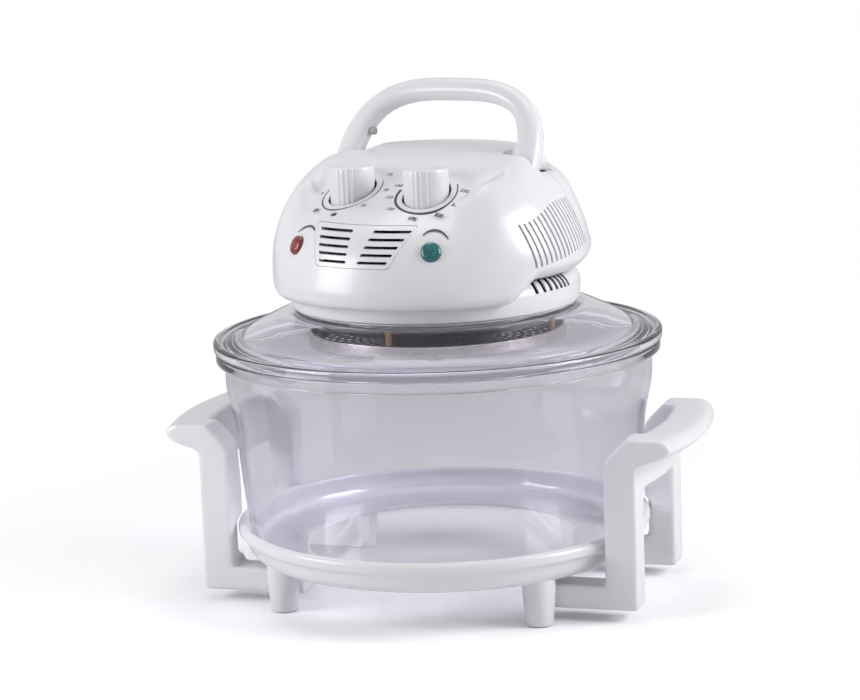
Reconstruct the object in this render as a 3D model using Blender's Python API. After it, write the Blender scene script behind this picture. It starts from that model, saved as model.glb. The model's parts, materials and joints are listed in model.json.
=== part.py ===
"""Multifunction oven: a glass bowl in a white cradle, under a domed glass lid that carries the power head.

Metres, +Z up, front towards -Y. The cradle lies along the axes. The lid and its head are modelled in a
frame of their own, which is turned about the bowl's axis by LID_TURN.
"""
import math

import bmesh
import bpy
from mathutils import Matrix, Vector

for old in list(bpy.data.objects):
    bpy.data.objects.remove(old, do_unlink=True)

# Clearances
FIT_GAP = 0.0003
OVERRUN = 0.003
ROUND_STEPS = 40
PLATE_STEPS = 28
SMALL_STEPS = 14
LID_TURN = math.radians(-12.8)

# Bowl
BOWL_RADIUS = 0.162
BOWL_HEIGHT = 0.1562
BOWL_WALL = 0.0045
BOWL_FLANGE_WIDTH = 0.0065
BOWL_FLANGE_RADIUS = BOWL_RADIUS + BOWL_FLANGE_WIDTH
BOWL_FLANGE_HEIGHT = 0.0087
EDGE_SOFTENING = 0.0015
BOWL_OUTLINE_SHARES = (
    (0.84, 0.0), (0.892, 0.013), (0.915, 0.05), (0.926, 0.176), (0.951, 0.426),
    (0.9605, 0.611), (0.975, 0.688), (0.996, 0.791), (1.0, 0.855),
)
BOWL_FOOT_SHARE = 0.926

# Cradle ring and feet
FOOT_HEIGHT = 0.0327
RING_PLAY = 0.0006
RING_WALL = 0.0029
RING_HEIGHT = 0.0269
RING_LEDGE = 0.0035
RING_INNER_RADIUS = 0.1045
LIP_OVERHANG = 0.0045
LIP_HEIGHT = 0.0092
LIP_SHARES = (
    (0.35, 0.0), (0.84, 0.09), (1.0, 0.45), (0.91, 0.77), (0.5, 0.97), (0.0, 1.0), (-0.45, 0.86),
    (-0.55, 0.55),
)
FOOT_INSET = 0.0196
FOOT_ANGLE = math.radians(42)
FOOT_TOP_RADIUS = 0.0125
FOOT_TOE_RADIUS = 0.0103
PAD_RADIUS = 0.008
PAD_THICKNESS = 0.0015
PAD_PROUD = 0.0006

# Side handle frames
POST_INNER = 0.1455
POST_WIDTH = 0.0246
POST_OUTER = POST_INNER + POST_WIDTH
POST_FRONT = 0.0762
POST_DEPTH = 0.0262
ARM_BOTTOM = 0.0086
ARM_HEIGHT = 0.0184
ARM_END = 0.088
ARM_PAD_LENGTH = 0.016
GRIP_TOP = 0.1368
GRIP_THICKNESS = 0.014
GRIP_INNER = 0.1624
GRIP_WIDTH = 0.0335
GRIP_OUTER = GRIP_INNER + GRIP_WIDTH
GRIP_BOW = 0.0118
GRIP_UNDER_RISE = 0.0063
GRIP_STATIONS = 9
SKIRT_WALL = 0.004
SKIRT_DROP = 0.0398
POST_CHAMFER = 0.0123
FRAME_PLAY = 0.0016
SCREW_RADIUS = 0.00175
SCREW_HEAD_RADIUS = 0.0035
SCREW_HEAD_HEIGHT = 0.0025
SCREW_SINK = 0.0015

# Glass lid
LID_OVERHANG = 0.0015
LID_RADIUS = BOWL_FLANGE_RADIUS + LID_OVERHANG
LID_FLANGE = 0.007
LID_FLANGE_WIDTH = 0.013
LID_FLANGE_INNER = LID_RADIUS - LID_FLANGE_WIDTH
LID_LIP_DEPTH = 0.003
LID_LIP_WIDTH = 0.0045
LID_LIP_PLAY = 0.0015
LID_WALL = 0.0045
LID_HOLE_RADIUS = 0.100
LID_LAND_RADIUS = 0.108
LID_DOME_INSET = 0.020
LID_DOME_RADIUS = LID_RADIUS - LID_DOME_INSET
LID_RISE = 0.0192
LID_DOME_START = 0.010
LID_DOME_SHARES = ((0.0, 0.0), (0.3, 0.36), (0.63, 0.70), (0.88, 0.93), (1.0, 1.0))

# Head base, gasket, insulation and reflector
SEAT_GAP = 0.0013
BASE_RADIUS = 0.1075
BASE_RIM_RADIUS = 0.1095
BASE_HEIGHT = 0.0231
BASE_NECK_RADIUS = 0.1015
BASE_WALL = 0.0025
BASE_OUTLINE_SHARES = (
    (0.0, 0.0), (1.0, 0.5), (0.95, 0.65), (0.25, 0.79), (-0.85, 0.91), (-2.15, 1.0), (-3.0, 1.02),
)
FLOOR_THICKNESS = 0.0025
FLOOR_HOLE_RADIUS = 0.012
BASE_SLOTS = 7
BASE_SLOT_PITCH = math.radians(3.6)
BASE_SLOT_START = math.radians(73)
BASE_SLOT_WIDTH = 0.003
BASE_SLOT_LOW_SHARE = 0.72
GASKET_THICKNESS = 0.0007
PLATE_THICKNESS = 0.001
PLATE_FLANGE_RADIUS = 0.105
PLATE_HAT_RADIUS = 0.0985
PLATE_HOLE_RADIUS = 0.008
CABLE_HOLE_PLAY = 0.001

# Guard, posts and heating element
GUARD_RADIUS = 0.0975
GUARD_TOP_DROP = 0.0183
GUARD_DEPTH = 0.0095
GUARD_SHEET = 0.0008
GUARD_CORNER = 0.002
GUARD_HOLE_RADIUS = 0.006
GUARD_HOLE_RINGS = ((0.030, 6), (0.055, 12))
POST_CIRCLE = 0.0917
POST_RADIUS = 0.003
POST_ANGLES = tuple(math.radians(angle) for angle in (8, 98, 188, 278))
ELEMENT_CIRCLE = 0.078
ELEMENT_RADIUS = 0.0033
ELEMENT_DROP = 0.012
ELEMENT_TAIL = 0.009
ELEMENT_GAP_ANGLE = math.radians(7)
ELEMENT_POINTS = 30

# Motor, fans and brackets
SHAFT_RADIUS = 0.003
SHAFT_ABOVE = 0.0605
SHAFT_BELOW = 0.0167
FAN_HUB_RADIUS = 0.009
CIRCULATION_FAN_RADIUS = 0.052
CIRCULATION_FAN_HEIGHT = 0.009
COOLING_FAN_RADIUS = 0.038
COOLING_FAN_HEIGHT = 0.010
FAN_DISC = 0.001
FAN_VANE = 0.0012
FAN_VANES = 6
FAN_PLATE_GAP = 0.004
NUT_RADIUS = 0.0055
NUT_HEIGHT = 0.0028
BRACKET_SHEET = 0.0016
MOTOR_BRACKET_HALF = 0.046
MOTOR_BRACKET_HEIGHT = 0.0213
MOTOR_BRACKET_DEPTH = 0.030
MOTOR_HALF_WIDTH = 0.030
MOTOR_HALF_DEPTH = 0.026
MOTOR_HEIGHT = 0.032

# Power head housing. Each outline runs from the deck's edge down and under, as (radius, height)
HOUSING_WALL = 0.0024
HOUSING_COLUMNS = 32
HEAD_RADIUS = 0.125
HEAD_HEIGHT = 0.1165
FRONT_SHARES = (
    (0.800, 0.622), (0.848, 0.584), (0.888, 0.528), (0.924, 0.468), (0.952, 0.399), (0.972, 0.330),
    (0.988, 0.253), (0.997, 0.184), (0.990, 0.133), (0.956, 0.101), (0.903, 0.096),
)
CORNER_SHARES = (
    (0.760, 0.854), (0.808, 0.785), (0.856, 0.717), (0.892, 0.648), (0.924, 0.567), (0.952, 0.481),
    (0.970, 0.391), (0.979, 0.279), (0.976, 0.172), (0.948, 0.111), (0.895, 0.093),
)
SIDE_SHARES = (
    (0.760, 0.854), (0.808, 0.785), (0.856, 0.717), (0.892, 0.648), (0.924, 0.567), (0.952, 0.481),
    (0.972, 0.399), (0.978, 0.335), (0.968, 0.288), (0.928, 0.245), (0.862, 0.219),
)
REAR_SHARES = (
    (0.720, 0.858), (0.772, 0.815), (0.808, 0.768), (0.836, 0.700), (0.872, 0.614), (0.908, 0.511),
    (0.936, 0.403), (0.946, 0.352), (0.936, 0.313), (0.904, 0.266), (0.858, 0.219),
)
FRONT_END_ANGLE = math.radians(35)
CORNER_ANGLE = math.radians(59)
SIDE_ANGLE = math.radians(80)
REAR_ANGLE = math.radians(121)
DECK_RING_SHARES = (0.25, 0.45, 0.6, 0.7, 0.78, 0.85, 0.92)
PANEL_SHARES = (
    (-0.850, 0.588), (-0.824, 0.609), (-0.520, 0.764), (-0.160, 0.931), (0.080, 0.974), (0.32, 1.0),
    (0.9, 1.0),
)
CROWN_SHARES = (
    (0.0, 1.0), (0.496, 0.991), (0.611, 0.966), (0.661, 0.940), (0.712, 0.897), (0.760, 0.854),
    (0.808, 0.785),
)
PANEL_BEND_RADIUS = 0.112
PANEL_BEND_START = 0.020
PANEL_BEND_SPAN = 0.085
RIDGE_SOFTNESS = 0.004
SHOULDER_DROP = 0.0185
ISLAND_HALF = 0.0585
ISLAND_EDGE = 0.004
SHOULDER_FRONT = 0.004
SEAM_PLACE = 0.010
SEAM_TILT = math.radians(9)

# Front panel fittings
KNOB_SPACING = 0.0634
KNOB_PLACE = 0.0615
KNOB_RADIUS = 0.0165
KNOB_TOP = 0.1085
KNOB_HEIGHT = 0.029
KNOB_BAND_HALF = 0.0058
KNOB_BAND_PROUD = 0.0006
KNOB_CHAMFER = 0.0012
KNOB_GAP = 0.0009
KNOB_SHAFT_RADIUS = 0.003
CONTROL_RADIUS = 0.020
CONTROL_HEIGHT = 0.0255
CONTROL_BRACKET_HALF = 0.053
CONTROL_BRACKET_DEPTH = 0.030
CONTROL_BRACKET_HEIGHT = 0.0392
LAMP_SIDE = 0.0575
LAMP_FORWARD = 0.1015
LAMP_HEIGHT = 0.0542
LAMP_RADIUS = 0.0072
LAMP_LENGTH = 0.008
LAMP_PROUD = 0.0014
LAMP_TILT = math.radians(23)
LAMP_HOLDER_RADIUS = 0.0055
LAMP_HOLDER_LENGTH = 0.013
GRILLE_TOP_HALF = 0.0426
GRILLE_BOTTOM_HALF = 0.0304
GRILLE_TOP = 0.071
GRILLE_BOTTOM = 0.0425
GRILLE_SLOTS = 5
GRILLE_SLOT_HEIGHT = 0.0019
GRILLE_SLOT_INNER = 0.006
GRILLE_BORDER = 0.0035
VENT_WIDTH = 0.0016
VENT_PITCH = math.radians(2.4)
VENT_GROUPS = ((math.radians(63), 7), (math.radians(82), 6))
VENT_LOW = 0.0415
VENT_HEIGHT = 0.030
VENT_SLANT = 0.010

# Carry handle, folding back about the head's X axis
PIVOT_PLACE = -0.002
PIVOT_HEIGHT = 0.0895
HANDLE_LEAN = math.radians(32)
HANDLE_FOLD = math.radians(26)
HANDLE_HALF_SPAN = 0.0782
HANDLE_RISE = 0.0779
HANDLE_CURVE_POWER = 3.1
HANDLE_HALF_THICK = 0.0083
HANDLE_GRIP_HALF = 0.0082
HANDLE_LEG_HALF = 0.0095
HANDLE_FOOT_HALF = 0.009
HANDLE_FOOT_LENGTH = 0.0085
HANDLE_SECTIONS = 21
HANDLE_SIDES = 10
PIN_RADIUS = 0.003
POCKET_PLAY = 0.0011
POCKET_REACH = 0.040
NUB_RADIUS = 0.0026
NUB_HEIGHT = 0.0351
NUB_SETBACK = 0.0219
NUB_TIP = 0.0612
NUB_LENGTH = 0.0078
HANDLE_BRACKET_OUTER = 0.0570
HANDLE_BRACKET_DEPTH = 0.016

# Safety switch under the folded left leg
SWITCH_SIDE = 0.0755
SWITCH_PLACE = 0.040
SWITCH_HALF_WIDTH = 0.0045
SWITCH_HALF_DEPTH = 0.006
SWITCH_HEIGHT = 0.012
SWITCH_TOP = 0.0845
PLUNGER_RADIUS = 0.002
PLUNGER_TOP = 0.1035
PLUNGER_TRAVEL = 0.003
PLUNGER_SINK = 0.0012
PILLAR_HALF = 0.0045

# Small electrical pieces
TERMINAL_HALF_WIDTH = 0.014
TERMINAL_DEPTH = 0.014
TERMINAL_HEIGHT = 0.013
TERMINAL_PLACE = 0.052
FUSE_RADIUS = 0.003
FUSE_LENGTH = 0.016
FUSE_PLACE = 0.062
BUSH_RADIUS = 0.0075
BUSH_BORE = 0.0036
BUSH_LENGTH = 0.018
BUSH_PROUD = 0.009
BUSH_HEIGHT = 0.0505

# Heights worked out from the sizes above
RING_BOTTOM = FOOT_HEIGHT
RING_TOP = RING_BOTTOM + RING_HEIGHT
BOWL_BASE = RING_BOTTOM + RING_LEDGE + FIT_GAP
BOWL_TOP = BOWL_BASE + BOWL_HEIGHT
LID_SEAT = BOWL_TOP + FIT_GAP
LID_TOP = LID_SEAT + LID_DOME_START + LID_RISE
LID_UNDER = LID_TOP - LID_WALL
HEAD_BOTTOM = LID_TOP + SEAT_GAP
FLOOR_TOP = HEAD_BOTTOM + FLOOR_THICKNESS
FLOOR_SEAT = FLOOR_TOP + FIT_GAP
PLATE_TOP = HEAD_BOTTOM - SEAT_GAP - FIT_GAP
PLATE_UNDER = PLATE_TOP - PLATE_THICKNESS
RING_BORE = BOWL_FOOT_SHARE * BOWL_RADIUS + RING_PLAY
RING_OUTER = RING_BORE + RING_WALL
PIVOT = Vector((0, PIVOT_PLACE, HEAD_BOTTOM + PIVOT_HEIGHT))
KNOB_BOTTOM = HEAD_BOTTOM + KNOB_TOP - KNOB_HEIGHT
CONTROL_SEAT = HEAD_BOTTOM + CONTROL_BRACKET_HEIGHT + FIT_GAP
CONTROL_TOP = CONTROL_SEAT + CONTROL_HEIGHT
MOTOR_SEAT = FLOOR_SEAT + MOTOR_BRACKET_HEIGHT + FIT_GAP


# Materials
def material(name, colour, roughness, metallic=0.0, alpha=1.0):
    """A Principled material of one colour, roughness and metallic value."""
    made = bpy.data.materials.new(name)
    made.use_nodes = True
    shader = made.node_tree.nodes["Principled BSDF"]
    shader.inputs["Base Color"].default_value = (*colour, 1)
    shader.inputs["Roughness"].default_value = roughness
    shader.inputs["Metallic"].default_value = metallic
    shader.inputs["Alpha"].default_value = alpha
    return made


WHITE = material("white_plastic", (0.86, 0.85, 0.87), 0.32)
GLASS = material("clear_glass", (0.80, 0.80, 0.85), 0.05, alpha=0.35)
STEEL = material("bright_steel", (0.62, 0.61, 0.60), 0.25, 1.0)
DARK_STEEL = material("dark_steel", (0.20, 0.19, 0.19), 0.45, 1.0)
BRONZE = material("bronze", (0.48, 0.33, 0.16), 0.35, 1.0)
RUBBER = material("grey_rubber", (0.12, 0.12, 0.13), 0.8)
RED = material("red_lens", (0.35, 0.02, 0.02), 0.2)
GREEN = material("green_lens", (0.0, 0.17, 0.15), 0.2)
GREY = material("grey_plastic", (0.45, 0.45, 0.47), 0.5)
BLACK = material("black_plastic", (0.04, 0.04, 0.04), 0.5)
MICA = material("insulation", (0.70, 0.66, 0.56), 0.9)


# Parents: an empty at each joint's axis, the head's ones under the turned lid
def frame_at(name, place=(0, 0, 0), parent=None):
    """An empty that carries the pieces of one moving group."""
    empty = bpy.data.objects.new(name, None)
    bpy.context.collection.objects.link(empty)
    empty.location = place
    empty.parent = parent
    return empty


lid_turn = frame_at("lid_turn")
lid_turn.rotation_euler = (0, 0, LID_TURN)
handle_axis = frame_at("handle_axis", PIVOT, lid_turn)
rotor_axis = frame_at("rotor_axis", (0, 0, HEAD_BOTTOM), lid_turn)
timer_axis = frame_at("timer_axis", (-KNOB_SPACING / 2, -KNOB_PLACE, KNOB_BOTTOM), lid_turn)
thermostat_axis = frame_at("thermostat_axis", (KNOB_SPACING / 2, -KNOB_PLACE, KNOB_BOTTOM), lid_turn)
plunger_axis = frame_at("plunger_axis", (-SWITCH_SIDE, SWITCH_PLACE, HEAD_BOTTOM + SWITCH_TOP), lid_turn)


# Shapes
def add(name, shape, finish, carrier=None):
    """Makes the bmesh an object that hangs on its carrier, with its faces pointing out."""
    bmesh.ops.remove_doubles(shape, verts=shape.verts, dist=FIT_GAP / 100)
    bmesh.ops.recalc_face_normals(shape, faces=shape.faces)
    mesh = bpy.data.meshes.new(name)
    shape.to_mesh(mesh)
    shape.free()
    mesh.materials.append(finish)
    mesh.shade_smooth()
    mesh.set_sharp_from_angle(angle=math.radians(30))
    made = bpy.data.objects.new(name, mesh)
    bpy.context.collection.objects.link(made)
    if carrier is not None:
        made.parent = carrier
        if carrier is not lid_turn:
            mesh.transform(Matrix.Translation(-carrier.location))
    return made


def guide(made):
    """Marks a cutter or a shape to be joined, which is no piece of its own."""
    made.hide_render = True
    made.display_type = "WIRE"
    return made


def boolean(target, tool, operation="DIFFERENCE", solver="EXACT"):
    """Cuts, joins or intersects the target with the tool, which becomes a guide."""
    guide(tool)
    step = target.modifiers.new(operation.lower(), "BOOLEAN")
    step.operation = operation
    step.solver = solver
    step.object = tool


def cut_shell(shell, tool, operation="DIFFERENCE"):
    """Cuts the thin doubly curved housing, which the exact solver loses."""
    boolean(shell, tool, operation, "MANIFOLD")


def turned(name, outline, finish, carrier=None, steps=ROUND_STEPS, closed=True):
    """Turns an outline of (radius, height) about Z. An open outline starts and ends on the axis."""
    shape = bmesh.new()
    verts = [shape.verts.new((radius, 0, height)) for radius, height in outline]
    pairs = list(zip(verts, verts[1:] + verts[:1])) if closed else list(zip(verts, verts[1:]))
    edges = [shape.edges.new(pair) for pair in pairs]
    bmesh.ops.spin(
        shape, geom=verts + edges, cent=(0, 0, 0), axis=(0, 0, 1), angle=math.tau,
        steps=steps, use_merge=True, use_duplicate=False,
    )
    return add(name, shape, finish, carrier)


def lofted(name, sections, finish, carrier=None):
    """Joins equal closed sections one after the other and caps both ends."""
    shape = bmesh.new()
    rings = [[shape.verts.new(point) for point in section] for section in sections]
    for ring, following in zip(rings, rings[1:]):
        for index in range(len(ring)):
            after = (index + 1) % len(ring)
            shape.faces.new((ring[index], ring[after], following[after], following[index]))
    shape.faces.new(rings[0])
    shape.faces.new(reversed(rings[-1]))
    return add(name, shape, finish, carrier)


def extruded(name, outline, axis, low, high, finish, carrier=None):
    """Carries a flat outline from low to high along an axis: X takes (y, z), Y (x, z) and Z (x, y)."""
    place = {
        "X": lambda a, b, along: (along, a, b),
        "Y": lambda a, b, along: (a, along, b),
        "Z": lambda a, b, along: (a, b, along),
    }[axis]
    sections = [[place(a, b, along) for a, b in outline] for along in (low, high)]
    return lofted(name, sections, finish, carrier)


def circle(radius, steps, centre=(0, 0), start=0.0):
    """The points of a circle, anticlockwise."""
    angles = [start + math.tau * index / steps for index in range(steps)]
    return [(centre[0] + radius * math.cos(angle), centre[1] + radius * math.sin(angle)) for angle in angles]


def rod(name, axis, centre, radius, low, high, finish, carrier=None, steps=SMALL_STEPS):
    """A round bar along an axis through a centre given in the other two coordinates."""
    return extruded(name, circle(radius, steps, centre), axis, low, high, finish, carrier)


def block(name, low, high, finish, carrier=None):
    """A plain block between two corners."""
    outline = [(low[0], low[1]), (high[0], low[1]), (high[0], high[1]), (low[0], high[1])]
    return extruded(name, outline, "Z", low[2], high[2], finish, carrier)


def offset(points, distance):
    """Moves an open outline to its right by a distance, mitred at each point."""
    moved = []
    for index, (x, y) in enumerate(points):
        before = points[max(index - 1, 0)]
        after = points[min(index + 1, len(points) - 1)]
        first = Vector((x - before[0], y - before[1]))
        second = Vector((after[0] - x, after[1] - y))
        first = first if first.length > 0 else second
        second = second if second.length > 0 else first
        along = (first.normalized() + second.normalized()).normalized()
        spread = distance / max(along.dot(first.normalized()), 0.5)
        moved.append((x + along.y * spread, y - along.x * spread))
    return moved


def between(table, place):
    """Reads a table of (place, value) pairs, straight between its rows."""
    if place <= table[0][0]:
        return table[0][1]
    for (low, first), (high, second) in zip(table, table[1:]):
        if place <= high:
            return first + (second - first) * (place - low) / (high - low)
    return table[-1][1]


def eased(value, low, high):
    """Rises smoothly from 0 at low to 1 at high."""
    share = min(max((value - low) / (high - low), 0), 1)
    return share * share * (3 - 2 * share)


# Cradle
def cradle_ring():
    """The ring that holds the bowl's foot: a ledge under it, a wall round it and a rolled lip."""
    lip_low = RING_TOP - LIP_HEIGHT
    lip = [(RING_OUTER + out * LIP_OVERHANG, lip_low + up * LIP_HEIGHT) for out, up in LIP_SHARES]
    ledge = RING_BOTTOM + RING_LEDGE
    outline = [(RING_OUTER, RING_BOTTOM), *lip, (RING_BORE, ledge), (RING_INNER_RADIUS, ledge)]
    outline.append((RING_INNER_RADIUS, RING_BOTTOM))
    ring = turned("cradle_ring", outline, WHITE)
    for index, place in enumerate(frame_screw_places()):
        hole = rod(f"ring_screw_hole_{index}", "Z", place, SCREW_RADIUS + FIT_GAP,
                   RING_BOTTOM - OVERRUN, ledge + OVERRUN, STEEL, steps=SMALL_STEPS)
        boolean(ring, hole)
    return ring


def frame_screw_places():
    """The four screws that hold the handle frames under the ring, one in each arm's pad."""
    side = ARM_END + ARM_PAD_LENGTH / 2
    front = POST_FRONT - POST_DEPTH / 2
    return [(x * side, y * front) for x in (-1, 1) for y in (-1, 1)]


def bowl_outline():
    """The bowl's outer outline below its flange, from the foot up, as (radius, height)."""
    return [(out * BOWL_RADIUS, BOWL_BASE + up * BOWL_HEIGHT) for out, up in BOWL_OUTLINE_SHARES]


def keep_clear(name):
    """A turned cutter that keeps a handle frame clear of the ring and of the bowl on its way up."""
    lip = RING_OUTER + LIP_OVERHANG + FRAME_PLAY
    wall = [(radius + FRAME_PLAY, height) for radius, height in bowl_outline() if height > RING_TOP + OVERRUN]
    top = wall[-1]
    outline = [(0, RING_BOTTOM - FIT_GAP), (lip, RING_BOTTOM - FIT_GAP), (lip, RING_TOP + FRAME_PLAY)]
    outline += [*wall, (top[0], GRIP_TOP + BOWL_HEIGHT), (0, GRIP_TOP + BOWL_HEIGHT)]
    return turned(name, outline, WHITE, closed=False)


def handle_frame(name, side):
    """A side handle: two posts with arms that reach under the ring, and the bowed grip with its skirt."""
    under = GRIP_TOP - GRIP_THICKNESS
    arm_top = ARM_BOTTOM + ARM_HEIGHT
    pad_top = RING_BOTTOM - FIT_GAP
    pad_end = ARM_END + ARM_PAD_LENGTH
    post = [
        (ARM_END, ARM_BOTTOM), (POST_OUTER, ARM_BOTTOM), (POST_OUTER, under - GRIP_UNDER_RISE),
        (GRIP_OUTER - GRIP_UNDER_RISE, under), (GRIP_OUTER, under + GRIP_THICKNESS * 0.4),
        (GRIP_OUTER - GRIP_THICKNESS * 0.13, under + GRIP_THICKNESS * 0.73),
        (GRIP_OUTER - GRIP_THICKNESS / 2, GRIP_TOP), (GRIP_INNER, GRIP_TOP),
        (GRIP_INNER - POST_CHAMFER, GRIP_TOP - POST_CHAMFER), (POST_INNER, GRIP_TOP - GRIP_THICKNESS * 1.4),
        (POST_INNER, arm_top), (pad_end, arm_top), (pad_end, pad_top), (ARM_END, pad_top),
    ]
    mirrored = [(side * x, z) for x, z in post]
    ends = (-POST_FRONT, -POST_FRONT + POST_DEPTH)
    frame = extruded(name, mirrored, "Y", *ends, WHITE)
    rear = extruded(name + "_rear_post", mirrored, "Y", -ends[1], -ends[0], WHITE)
    sections = []
    for index in range(GRIP_STATIONS):
        share = index * 2 / (GRIP_STATIONS - 1) - 1
        y = share * (POST_FRONT - FIT_GAP)
        bow = GRIP_BOW * (1 - share * share)
        inner = GRIP_INNER + bow
        outer = GRIP_OUTER + bow
        skirt = inner + SKIRT_WALL
        section = [
            (inner, GRIP_TOP - SKIRT_DROP), (skirt, GRIP_TOP - SKIRT_DROP), (skirt, under - GRIP_UNDER_RISE),
            (skirt + SKIRT_WALL, under - GRIP_UNDER_RISE * 0.6), (outer - GRIP_UNDER_RISE, under),
            (outer, under + GRIP_THICKNESS * 0.4),
            (outer - GRIP_THICKNESS * 0.13, under + GRIP_THICKNESS * 0.73),
            (outer - GRIP_THICKNESS / 2, GRIP_TOP - FIT_GAP), (inner + FIT_GAP, GRIP_TOP - FIT_GAP),
        ]
        sections.append([(side * x, y, z) for x, z in section])
    grip = lofted(name + "_grip", sections, WHITE)
    boolean(frame, rear, "UNION")
    boolean(frame, grip, "UNION")
    boolean(frame, keep_clear(name + "_keep_clear"))
    for index, place in enumerate(frame_screw_places()):
        if place[0] * side > 0:
            boolean(frame, screw(f"{name}_screw_hole_{index}", place, FIT_GAP, OVERRUN))
    return frame


def screw(name, place, play=0.0, below=0.0):
    """A pan-head screw pointing up, or with some play its hole, open below."""
    head_low = ARM_BOTTOM + SCREW_SINK - below
    head_top = ARM_BOTTOM + SCREW_SINK + SCREW_HEAD_HEIGHT + play
    tip = RING_BOTTOM + RING_LEDGE - FIT_GAP
    outline = [
        (0, head_low), (SCREW_HEAD_RADIUS + play, head_low), (SCREW_HEAD_RADIUS + play, head_top),
        (SCREW_RADIUS + play, head_top), (SCREW_RADIUS + play, tip), (0, tip),
    ]
    made = turned(name, outline, STEEL, steps=SMALL_STEPS, closed=False)
    made.location = (*place, 0)
    return made


def foot(name, place):
    """A tapered peg under the ring with a recess for its rubber pad."""
    top = RING_BOTTOM - FIT_GAP
    recess = PAD_THICKNESS + FIT_GAP
    outline = [
        (0, top), (FOOT_TOP_RADIUS, top), (FOOT_TOP_RADIUS, top - FOOT_TOP_RADIUS / 3),
        (FOOT_TOE_RADIUS, PAD_PROUD + EDGE_SOFTENING), (FOOT_TOE_RADIUS - EDGE_SOFTENING / 2, PAD_PROUD),
        (PAD_RADIUS + FIT_GAP, PAD_PROUD), (PAD_RADIUS + FIT_GAP, recess), (0, recess),
    ]
    turned(name, outline, WHITE, steps=SMALL_STEPS, closed=False).location = (*place, 0)


def cradle():
    """The ring, its four feet with pads, the two handle frames and their screws."""
    cradle_ring()
    handle_frame("handle_frame_left", -1)
    handle_frame("handle_frame_right", 1)
    foot_circle = RING_OUTER - FOOT_INSET
    for depth, y in (("front", -1), ("rear", 1)):
        for side, x in (("left", -1), ("right", 1)):
            place = (x * foot_circle * math.cos(FOOT_ANGLE), y * foot_circle * math.sin(FOOT_ANGLE))
            foot(f"foot_{depth}_{side}", place)
            rod(f"foot_pad_{depth}_{side}", "Z", place, PAD_RADIUS, 0, PAD_THICKNESS, RUBBER)
    for number, place in enumerate(frame_screw_places(), 1):
        screw(f"frame_screw_{number}", place)


# Glass
def glass_bowl():
    """The bowl: one outline up its outside, over the flange and down its inside."""
    outer = bowl_outline()
    flange_low = BOWL_TOP - BOWL_FLANGE_HEIGHT
    soft = EDGE_SOFTENING
    flange = [
        (BOWL_RADIUS, flange_low), (BOWL_FLANGE_RADIUS - soft, flange_low),
        (BOWL_FLANGE_RADIUS, flange_low + soft),
        (BOWL_FLANGE_RADIUS, BOWL_TOP - soft), (BOWL_FLANGE_RADIUS - soft, BOWL_TOP),
        (BOWL_RADIUS - BOWL_WALL + soft, BOWL_TOP), (BOWL_RADIUS - BOWL_WALL, BOWL_TOP - soft),
    ]
    inner = offset(outer, -BOWL_WALL)
    inner[0] = (inner[0][0], BOWL_BASE + BOWL_WALL)
    inner = inner[::2]
    outline = [(0, BOWL_BASE), *outer, *flange, *reversed(inner), (0, BOWL_BASE + BOWL_WALL)]
    turned("glass_bowl", outline, GLASS, closed=False)


def glass_lid():
    """The lid: a flange on the bowl, a lip inside it and a dome up to the land round the centre hole."""
    start = LID_SEAT + LID_DOME_START
    dome = []
    for inward, up in LID_DOME_SHARES:
        radius = LID_DOME_RADIUS - inward * (LID_DOME_RADIUS - LID_LAND_RADIUS)
        dome.append((radius, start + up * LID_RISE))
    under = [(radius, height - LID_WALL) for radius, height in dome]
    lip = BOWL_RADIUS - BOWL_WALL - LID_LIP_PLAY
    top = LID_SEAT + LID_FLANGE
    soft = EDGE_SOFTENING
    outline = [
        (LID_RADIUS - soft, LID_SEAT), (LID_RADIUS, LID_SEAT + soft), (LID_RADIUS, top - soft),
        (LID_RADIUS - soft, top), (LID_FLANGE_INNER, top), *dome, (LID_HOLE_RADIUS, LID_TOP),
        (LID_HOLE_RADIUS, LID_UNDER), *reversed(under), (lip - LID_LIP_WIDTH, LID_SEAT - LID_LIP_DEPTH),
        (lip, LID_SEAT - LID_LIP_DEPTH), (lip, LID_SEAT),
    ]
    turned("glass_lid", outline, GLASS, lid_turn)
    gasket = GASKET_THICKNESS
    low = LID_TOP + FIT_GAP
    ring = [
        (LID_HOLE_RADIUS + gasket, low), (BASE_RADIUS - gasket, low),
        (BASE_RADIUS - gasket, low + gasket), (LID_HOLE_RADIUS + gasket, low + gasket),
    ]
    turned("lid_gasket", ring, RUBBER, lid_turn, PLATE_STEPS)


# Under the lid
def polar(radius, angle, height):
    """A point of the head's frame, with its angle taken from the front towards +X."""
    return (radius * math.sin(angle), -radius * math.cos(angle), height)


def element_holes(target, low, high):
    """Two holes for the heating element's upright ends."""
    for side in (-1, 1):
        x, y, _ = polar(ELEMENT_CIRCLE, math.pi + side * ELEMENT_GAP_ANGLE, 0)
        hole = rod(f"{target.name}_element_hole_{side + 1}", "Z", (x, y), ELEMENT_RADIUS + CABLE_HOLE_PLAY,
                   low - OVERRUN, high + OVERRUN, STEEL, lid_turn)
        boolean(target, hole)


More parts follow.
